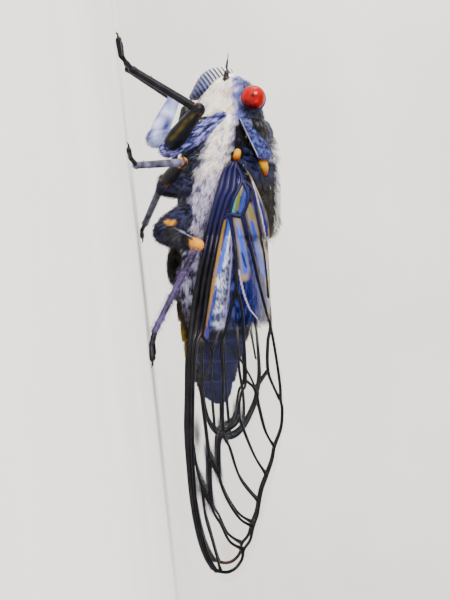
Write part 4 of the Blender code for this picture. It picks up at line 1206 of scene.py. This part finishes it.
def build_costal_band(name, side):
    """The stiff front edge: three rounded rails with furrows between them."""
    stations = np.linspace(*BAND_SPAN, BAND_RINGS)
    lower = edge_heights(COSTAL_BAND_FRONT, stations)
    upper = edge_heights(COSTAL_BAND_EDGE, stations)
    rings = []
    for along, low, high in zip(stations, lower, upper):
        ends = max(0.1, min(1.0, (along - 9.6) / 0.6, (51.9 - along) / 1.2))
        top, base = [], []
        for t in np.linspace(0, 1, BAND_POINTS):
            up = low + (high - low) * t
            rail = abs(math.sin(3 * math.pi * t)) ** 0.7
            edge = math.sqrt(max(0.0, 1 - (2 * t - 1) ** 8))
            height = (0.06 + 0.2 * rail) * edge * ends
            top.append(wing_spot(FORE_WING, side, along, up, height)[0])
            base.append(wing_spot(FORE_WING, side, along, up, -0.14 * edge - 0.01)[0])
        rings.append(top + base[::-1])
    bm = bmesh.new()
    loft(bm, rings)
    finish_piece(bm, name, "band", (), vein_marks)


def build_wings():
    for side, name in SIDE_NAMES.items():
        build_film("fore_film_" + name, FORE_WING, side)
        build_veins("fore_veins_" + name, FORE_WING, side, "forewing_" + name)
        build_costal_band("fore_edge_" + name, side)
        build_film("hind_film_" + name, HIND_WING, side)
        build_veins("hind_veins_" + name, HIND_WING, side, "hindwing_" + name)


# Legs

JOINT_SPOTS = {"fore": (0.6, 0.3), "mid": (0.6, 0.75), "hind": (0.9, 0.6)}
SHIN_TONES = {"fore": ("#050509", "#15151F"), "mid": ("#20202C", "#6C6A84"),
              "hind": ("#14101E", "#4A3C68")}
THIGH_STRIPES = {
    "fore": ((7.5, 6.3, -5.5), (5.1, 8.1, -3.3), 0.2, "#1C1006", "#4C4414"),
    "mid": (),
    "hind": ((16.5, 6.3, -5.1), (17.6, 8.8, -3.1), 0.12, "#3A3E50", "#8A90A8"),
}


def build_leg(pair, side, places):
    prefix = pair + "_" + SIDE_NAMES[side] + "_"
    hip, trochanter, knee, ankle, toe = places
    hip, trochanter, knee = [place(a, side * o, u) for a, o, u in (hip, trochanter, knee)]
    ankle = on_floor(ankle[0], side * ankle[1], ankle[2])
    toe = on_floor(toe[0], side * toe[1], FOOT_AXIS_HEIGHT)
    coxa_top, coxa_end, femur_top, femur_end, tibia_top, tibia_end = [
        w / 2 for w in LEG_WIDTHS[pair]]
    joints = [(knee, JOINT_SPOTS[pair][0]), (trochanter, JOINT_SPOTS[pair][1])]
    far_fore = pair == "fore" and side == RIGHT
    femur_marks = leg_marks(joints, "#050509", "#14141E", side, THIGH_STRIPES[pair])
    if far_fore:
        femur_marks = pale_hip_marks
    shin_marks = leg_marks(joints[:1], *SHIN_TONES[pair])

    bm = bmesh.new()
    top = hip if pair != "fore" or far_fore else place(4.9, side * 4.35, -0.3)
    rod(bm, [top, hip.lerp(trochanter, 0.3), trochanter],
        [(0, coxa_top * 0.6), (0.3, coxa_top), (0.7, max(coxa_top, coxa_end)), (1, coxa_end)],
        32)
    coxa = finish_piece(bm, prefix + "hip", "skin", [prefix + "coxa"],
                        pale_hip_marks if far_fore else hip_marks)
    bm = bmesh.new()
    rod(bm, [trochanter, knee], [(0, femur_top * 0.85), (0.35, femur_top * 1.05),
                                 (0.85, femur_end), (1, femur_end * 1.05)], 28)
    thigh = finish_piece(bm, prefix + "thigh", "leg chitin", [prefix + "femur"],
                         femur_marks)
    bm = bmesh.new()
    rod(bm, [knee, ankle], [(0, tibia_top * 1.15), (0.08, tibia_top), (0.9, tibia_end),
                            (1, tibia_end * 1.15)], 20)
    axis = (ankle - knee).normalized()
    sideways = axis.cross(Vector((0, 0, 1))).normalized()
    for k in range(SPURS[pair]):
        root = knee.lerp(ankle, 0.15 + 0.8 * k / max(SPURS[pair] - 1, 1))
        turn = Matrix.Rotation(k * 2.4, 3, axis)
        lean = (turn @ sideways * 0.7 + axis * 0.8).normalized()
        rod(bm, [root + lean * 0.15 * MM, root + lean * 0.8 * MM],
            [(0, 0.08), (0.5, 0.055), (1, 0.015)], 8, step=0.2)
    shin = finish_piece(bm, prefix + "shin", "leg chitin", [prefix + "tibia"], shin_marks)

    heel = ankle.lerp(toe, HEEL_SHARE)
    heel.z = FOOT_AXIS_HEIGHT * MM * 1.2
    bm = bmesh.new()
    ends = [ankle, ankle.lerp(heel, 0.55), heel, toe]
    for first, second in zip(ends, ends[1:]):
        rod(bm, [first, second], [(0, FOOT_HALF_WIDTH * 0.75), (0.75, FOOT_HALF_WIDTH * 0.95),
                                  (1, FOOT_HALF_WIDTH * 0.85)], 16, step=0.15)
    ahead = Vector((toe.x - heel.x, toe.y - heel.y, 0)).normalized()
    for turn in (-CLAW_SPREAD, CLAW_SPREAD):
        outward = Matrix.Rotation(turn, 3, "Z") @ ahead
        root = toe + ahead * 0.1 * MM
        rod(bm, [root, root + outward * 0.45 * MM + Vector((0, 0, 0.03 * MM)),
                 root + outward * CLAW_LENGTH * MM - Vector((0, 0, 0.16 * MM))],
            [(0, 0.13), (0.5, 0.09), (1, 0.02)], 10, step=0.1)
    finish_piece(bm, prefix + "foot", "leg chitin", [prefix + "tarsus"],
                 leg_marks((), "#050509", "#14141E"))
    return coxa, thigh, shin


def build_legs():
    """All six legs, as (hip, thigh, shin) for each pair and side."""
    return {(pair, side): build_leg(pair, side, places)
            for side, legs in ((LEFT, LEG_PLACES), (RIGHT, RIGHT_LEG_PLACES))
            for pair, places in legs.items()}


# Hair

# A blade of hair: three points round its root, three round its middle, and its tip
BLADE_POINTS = 7
BLADE_CORNERS = ((-1, -0.4), (1, -0.4), (0, 0.6))
BLADE_FACES = [(0, 2, 1), (0, 1, 4, 3), (1, 2, 5, 4), (2, 0, 3, 5), (3, 4, 6), (4, 5, 6),
               (5, 3, 6)]
BLADE_PATCH = np.array([(0.0, 0.0), (1.0, 0.0), (0.5, 0.3), (0.1, 0.6), (0.9, 0.6), (0.5, 0.7),
                        (0.5, 1.0)])
PATCH_SIZE = 0.003
ROOT_DEPTH = 0.03


def grow_hair(name, skins, count, length, width, lift, shade, marks, lie, wanted, slot, seed):
    """Sow tapered blades over skins, densest where wanted, along their lie.

    Each blade is a thin closed three-sided lock, two or three times as thick as a real hair,
    so that it shows. Its UV patch sits at its root's place on the unwrap of the skin that it
    grows from.
    """
    rng = np.random.default_rng(seed)
    roots, normals, patches = [], [], []
    tiles = math.ceil(math.sqrt(len(skins)))
    for index, skin in enumerate(skins):
        mesh = skin.data
        mesh.calc_loop_triangles()
        corners = read_all(mesh.loop_triangles, "vertices", 3, np.int32)
        loops = read_all(mesh.loop_triangles, "loops", 3, np.int32)
        points = read_all(mesh.vertices, "co", 3).astype(float)
        unwrap = read_all(mesh.uv_layers[0].data, "uv", 2)
        a, b, c = (points[corners[:, k]] for k in range(3))
        face = np.cross(b - a, c - a)
        area = np.linalg.norm(face, axis=1)
        centre = (a + b + c) / 3
        weight = area * np.clip(wanted(*body_places(centre)), 0, None)
        share = int(count * weight.sum() / max(weight.sum(), 1e-12) / len(skins))
        picks = rng.choice(len(area), size=share, p=weight / weight.sum())
        r1, r2 = np.sqrt(rng.random(share)), rng.random(share)
        w = np.stack([1 - r1, r1 * (1 - r2), r1 * r2], axis=1)[:, :, None]
        roots.append(a[picks] * w[:, 0] + b[picks] * w[:, 1] + c[picks] * w[:, 2])
        normals.append(face[picks] / np.maximum(area[picks], 1e-12)[:, None])
        uv = sum(unwrap[loops[:, k]][picks] * w[:, k] for k in range(3))
        patches.append((uv * 0.98 + np.array([index % tiles, index // tiles])) / tiles)
    root, normal = np.vstack(roots), np.vstack(normals)
    patch = np.vstack(patches)
    total = len(root)
    places = body_places(root)
    flow = lie(*places) + rng.normal(0, 0.22, (total, 3))
    flow = flow - normal * np.sum(flow * normal, axis=1, keepdims=True)
    flow /= np.maximum(np.linalg.norm(flow, axis=1, keepdims=True), 1e-9)
    across = np.cross(normal, flow)
    reach = length * rng.uniform(0.6, 1.25, total) * MM
    half = width * MM * rng.uniform(0.7, 1.3, total)
    rise = lift * rng.uniform(0.4, 1.6, total)
    middle = root + flow * (reach * 0.5)[:, None] + normal * (reach * rise)[:, None]
    tip = root + flow * reach[:, None] + normal * (reach * rise * 0.9)[:, None]
    sunk = root - normal * ROOT_DEPTH * MM
    points = np.empty((total, BLADE_POINTS, 3))
    for k, (sx, sn) in enumerate(BLADE_CORNERS):
        offset = across * (half * sx)[:, None] + normal * (half * sn)[:, None]
        points[:, k] = sunk + offset
        points[:, 3 + k] = middle + offset * 0.75
    points[:, 6] = tip
    base = np.arange(total)[:, None] * BLADE_POINTS
    corners = np.hstack([base + np.array(face) for face in BLADE_FACES]).ravel()
    sizes = np.tile([len(face) for face in BLADE_FACES], total)
    mesh = bpy.data.meshes.new("hair_" + name)
    mesh.vertices.add(total * BLADE_POINTS)
    mesh.vertices.foreach_set("co", points.astype(np.float32).ravel())
    mesh.loops.add(len(corners))
    mesh.loops.foreach_set("vertex_index", corners.astype(np.int32))
    mesh.polygons.add(len(sizes))
    starts = np.concatenate([[0], np.cumsum(sizes)[:-1]])
    mesh.polygons.foreach_set("loop_start", starts.astype(np.int32))
    mesh.polygons.foreach_set("loop_total", sizes.astype(np.int32))
    mesh.update(calc_edges=True)
    uv = (patch[:, None, :] + BLADE_PATCH[None] * PATCH_SIZE).reshape(-1, 2)[corners]
    mesh.uv_layers.new(name="OFBake").data.foreach_set("uv", uv.astype(np.float32).ravel())
    colours = marks(*places) * rng.uniform(0.75, 1.2, total)[:, None] * shade
    paint(mesh, np.clip(np.repeat(colours, BLADE_POINTS, axis=0), 0, 1))
    finish_mesh(mesh, "hair_" + name, "hair")


def tailward(along, out, up):
    """Lie of the coat: towards the tail, and down the sides."""
    back = np.array(heading(1, 0, 0)) / MM
    down = np.array(heading(0, 0, -1)) / MM
    fall = np.clip(np.abs(out) / 5.0, 0, 1) * 0.45
    return back[None] + down[None] * fall[:, None]


def downward(along, out, up):
    """Lie of the down on the hips: towards the feet."""
    foot = np.array(heading(0.5, 0, -0.85)) / MM
    return np.tile(foot, (len(along), 1))


def everywhere(along, out, up):
    return np.ones(len(along))


def cheek_wanted(along, out, up):
    return (0.12 + 1.5 * (1 - smoothstep(1.0, 2.0, up)) * smoothstep(0.6, 1.6, along)
            ) * (along < 5.1)


def flank_wanted(along, out, up):
    """Dense in the pale stripe and below, none over the seam between the plates."""
    shown = (along > 5.1) & (np.abs(along - BODY_SPLIT) > 0.12) & (along < THORAX_END - 0.1)
    return shown * (0.1 + 1.6 * stripe_share(along, out, up)
                    + 0.8 * (1 - smoothstep(-2.6, -1.4, up)))


def collar_wanted(along, out, up):
    return above_collar_edge(along, up) > 0.15


def back_wanted(along, out, up):
    """All over, apart from the orange spots at the wing roots and the plate's ends."""
    spot = np.sqrt((along - 10.0) ** 2 + (np.abs(out) - 4.1) ** 2 + (up - 4.1) ** 2)
    return (spot > 0.9) & (along > BODY_SPLIT + 0.2) & (along < THORAX_END - 0.1)


def fringe_wanted(along, out, up):
    rear = smoothstep(6.8, 8.2, along) * (1 - smoothstep(9.2, 9.4, along))
    back = smoothstep(4.9, 5.5, up) * (along > 9.4)
    return 0.003 + 2.0 * rear * smoothstep(4.4, 5.3, up) + 0.9 * back


def fringe_marks(along, out, up):
    return blend("#C4C2CC", "#FFFCF4", strands(along, out, up))


def tuft_wanted(along, out, up):
    return smoothstep(16.0, 16.6, along) * (1 - smoothstep(0.8, 1.6, np.abs(out)))


def belly_wanted(along, out, up):
    return 0.4 + 1.2 * (1 - smoothstep(-3.5, -1.5, up))


def thigh_wanted(along, out, up):
    """Dense behind the thigh, none on its orange end."""
    return smoothstep(16.6, 17.6, along) * (np.abs(out) < 7.9)


def thigh_down(along, out, up):
    return blend("#08080C", "#44465A", mottle(along, out, up, 0.3) ** 2)


def shin_down(along, out, up):
    return blend("#241C3C", "#8A78AC", mottle(along, out, up, 0.4))


def build_coat(head, body, legs):
    pronotum, front, mesonotum, flanks, abdomen, covers = body
    hips = [hip for key, (hip, _, _) in legs.items() if key != ("fore", RIGHT)]
    pale_hip = legs["fore", RIGHT][0]
    _, thighs, shins = zip(legs["hind", LEFT], legs["hind", RIGHT])
    # Skins, blades, length, half width, lift, shade, marks, lie, where wanted, slot, seed
    coat = {
        "head": ([head], 9000, 0.5, 0.03, 0.22, 1.0, head_marks, tailward, cheek_wanted,
                 "shell", 11),
        "fore_flanks": ([front], 9500, 0.75, 0.03, 0.25, 1.0, flank_marks, tailward,
                        flank_wanted, "hairy_cuticle", 12),
        "flanks": ([flanks], 12500, 0.85, 0.03, 0.25, 1.0, flank_marks, tailward,
                   flank_wanted, "hairy_cuticle", 13),
        "collar": ([pronotum], 9000, 0.4, 0.013, 0.25, 1.1, pronotum_marks, tailward,
                   collar_wanted, "notum", 14),
        "back": ([mesonotum], 12000, 0.5, 0.014, 0.25, 0.8, mesonotum_marks, tailward,
                 back_wanted, "notum", 15),
        "fringe": ([pronotum, mesonotum], 2600, 0.55, 0.016, 0.4, 1.0, fringe_marks, tailward,
                   fringe_wanted, "notum", 19),
        "tuft": ([mesonotum], 260, 0.9, 0.02, 0.5, 1.0, fringe_marks, tailward, tuft_wanted,
                 "notum", 20),
        "abdomen": ([abdomen], 8000, 0.4, 0.025, 0.2, 1.0, belly_marks, tailward,
                    belly_wanted, "belly", 16),
        "covers": (covers, 3600, 0.45, 0.016, 0.35, 1.0, cover_marks, tailward, everywhere,
                   "belly", 18),
        "hips": (hips, 7500, 0.45, 0.022, 0.25, 1.0, hip_marks, downward, everywhere,
                 "leg", 17),
        "pale_hip": ([pale_hip], 1300, 0.45, 0.022, 0.25, 1.0, pale_hip_marks, downward,
                     everywhere, "leg", 21),
        "thighs": (thighs, 2400, 0.6, 0.02, 0.5, 1.0, thigh_down, tailward, thigh_wanted,
                   "leg", 23),
        "shins": (shins, 1500, 0.36, 0.014, 0.9, 1.0, shin_down, tailward, everywhere,
                  "leg", 22),
    }
    for name, row in coat.items():
        grow_hair(name, *row)


# Studio: one pale sweep for floor and wall, soft lamps, and the camera

# The sweep in metres: a flat floor that turns up into a wall behind the cicada
SWEEP_WIDTH = 1.4
SWEEP_FRONT = -0.6
SWEEP_TURN = 0.14
SWEEP_RADIUS = 0.12
SWEEP_TOP = 0.7
TURN_STEPS = 16
# Lamps: name, place, size, power, colour
LAMPS = [
    ("key", (-0.3, -0.34, 0.2), 0.2, 6.4, "#FFF7EC"),
    ("head", (-0.42, 0.08, 0.12), 0.22, 1.8, "#FFFFFF"),
    ("fill", (0.3, -0.34, 0.2), 0.3, 1.1, "#E6EEFF"),
    ("rim", (0.02, 0.2, 0.34), 0.25, 0.7, "#FFFFFF"),
]
LAMP_TARGET = Vector((0, 0, 0.008))
ROOM_TONE = "#E9EDF4"
ROOM_LIGHT = 0.36

# Pixels of the picture to a millimetre, and the body place at the picture's centre
PHOTO_SCALE = 9.75
FRAME_CENTRE = (23.8, -4.0, 0.0)
CAMERA_DISTANCE = 220.0
CAMERA_LIFT = math.radians(-1.4)
SENSOR = 36.0
FRAME_HEIGHT = 600 / PHOTO_SCALE


def build_stage():
    paper, tree, shader, position = new_material("matt paper sweep", Roughness=0.9)
    tree.links.new(two_tone(tree, position, 40.0, "#E6E5E0", "#F0EFEB"),
                   shader.inputs["Base Color"])
    # The paper's back is clear, so that a camera behind the wall sees the cicada
    behind = add(tree, "ShaderNodeNewGeometry").outputs["Backfacing"]
    front = add(tree, "ShaderNodeMapRange", {"From Min": 1.0, "From Max": 0.0},
                {"Value": behind})
    tree.links.new(front.outputs["Result"], shader.inputs["Alpha"])
    bm = bmesh.new()
    profile = [(SWEEP_FRONT, 0.0), (SWEEP_TURN, 0.0)]
    for k in range(1, TURN_STEPS + 1):
        angle = math.pi / 2 * k / TURN_STEPS
        profile.append((SWEEP_TURN + SWEEP_RADIUS * math.sin(angle),
                        SWEEP_RADIUS - SWEEP_RADIUS * math.cos(angle)))
    profile.append((SWEEP_TURN + SWEEP_RADIUS, SWEEP_TOP))
    line = [bm.verts.new((-SWEEP_WIDTH / 2, y, z)) for y, z in profile]
    edges = [bm.edges.new(pair) for pair in zip(line, line[1:])]
    made = bmesh.ops.extrude_edge_only(bm, edges=edges)["geom"]
    moved = [g for g in made if isinstance(g, bmesh.types.BMVert)]
    bmesh.ops.translate(bm, vec=(SWEEP_WIDTH, 0, 0), verts=moved)
    bm.normal_update()
    if min(face.normal.z for face in bm.faces) < -0.5:
        bmesh.ops.reverse_faces(bm, faces=bm.faces[:])
    mesh = new_mesh(bm, "sweep")
    mesh.shade_smooth()
    mesh.materials.append(paper)
    sweep = bpy.data.objects.new("sweep", mesh)
    bpy.context.scene.collection.objects.link(sweep)


def build_lights():
    for name, spot, size, power, tone in LAMPS:
        lamp = bpy.data.lights.new(name, "AREA")
        lamp.size = size
        lamp.energy = power
        lamp.color = linear(tone)
        holder = bpy.data.objects.new(name, lamp)
        holder.location = spot
        holder.rotation_euler = (LAMP_TARGET - Vector(spot)).to_track_quat("-Z", "Y").to_euler()
        bpy.context.scene.collection.objects.link(holder)
    world = bpy.data.worlds.new("studio")
    world.use_nodes = True
    room = world.node_tree.nodes["Background"]
    room.inputs["Color"].default_value = (*linear(ROOM_TONE), 1)
    room.inputs["Strength"].default_value = ROOM_LIGHT
    bpy.context.scene.world = world


def build_camera():
    """Camera square to the left side, turned so that the head is up as in the photo."""
    centre = place(*FRAME_CENTRE)
    away = Vector((0, -math.cos(CAMERA_LIFT), math.sin(CAMERA_LIFT)))
    up = heading(-1, 0, 0)
    up = (up - away * up.dot(away)).normalized()
    right = up.cross(away)
    matrix = Matrix((right, up, away)).transposed().to_4x4()
    matrix.translation = centre + away * CAMERA_DISTANCE * MM
    lens = bpy.data.cameras.new("camera")
    lens.sensor_fit = "VERTICAL"
    lens.sensor_height = SENSOR
    lens.lens = SENSOR * CAMERA_DISTANCE / FRAME_HEIGHT
    lens.clip_start = 0.005
    camera = bpy.data.objects.new("camera", lens)
    camera.matrix_world = matrix
    bpy.context.scene.collection.objects.link(camera)
    bpy.context.scene.camera = camera


build_stage()
build_lights()
build_camera()
head_piece = build_head()
body_pieces = build_body()
build_wing_roots()
build_wings()
leg_pieces = build_legs()
build_coat(head_piece, body_pieces, leg_pieces)
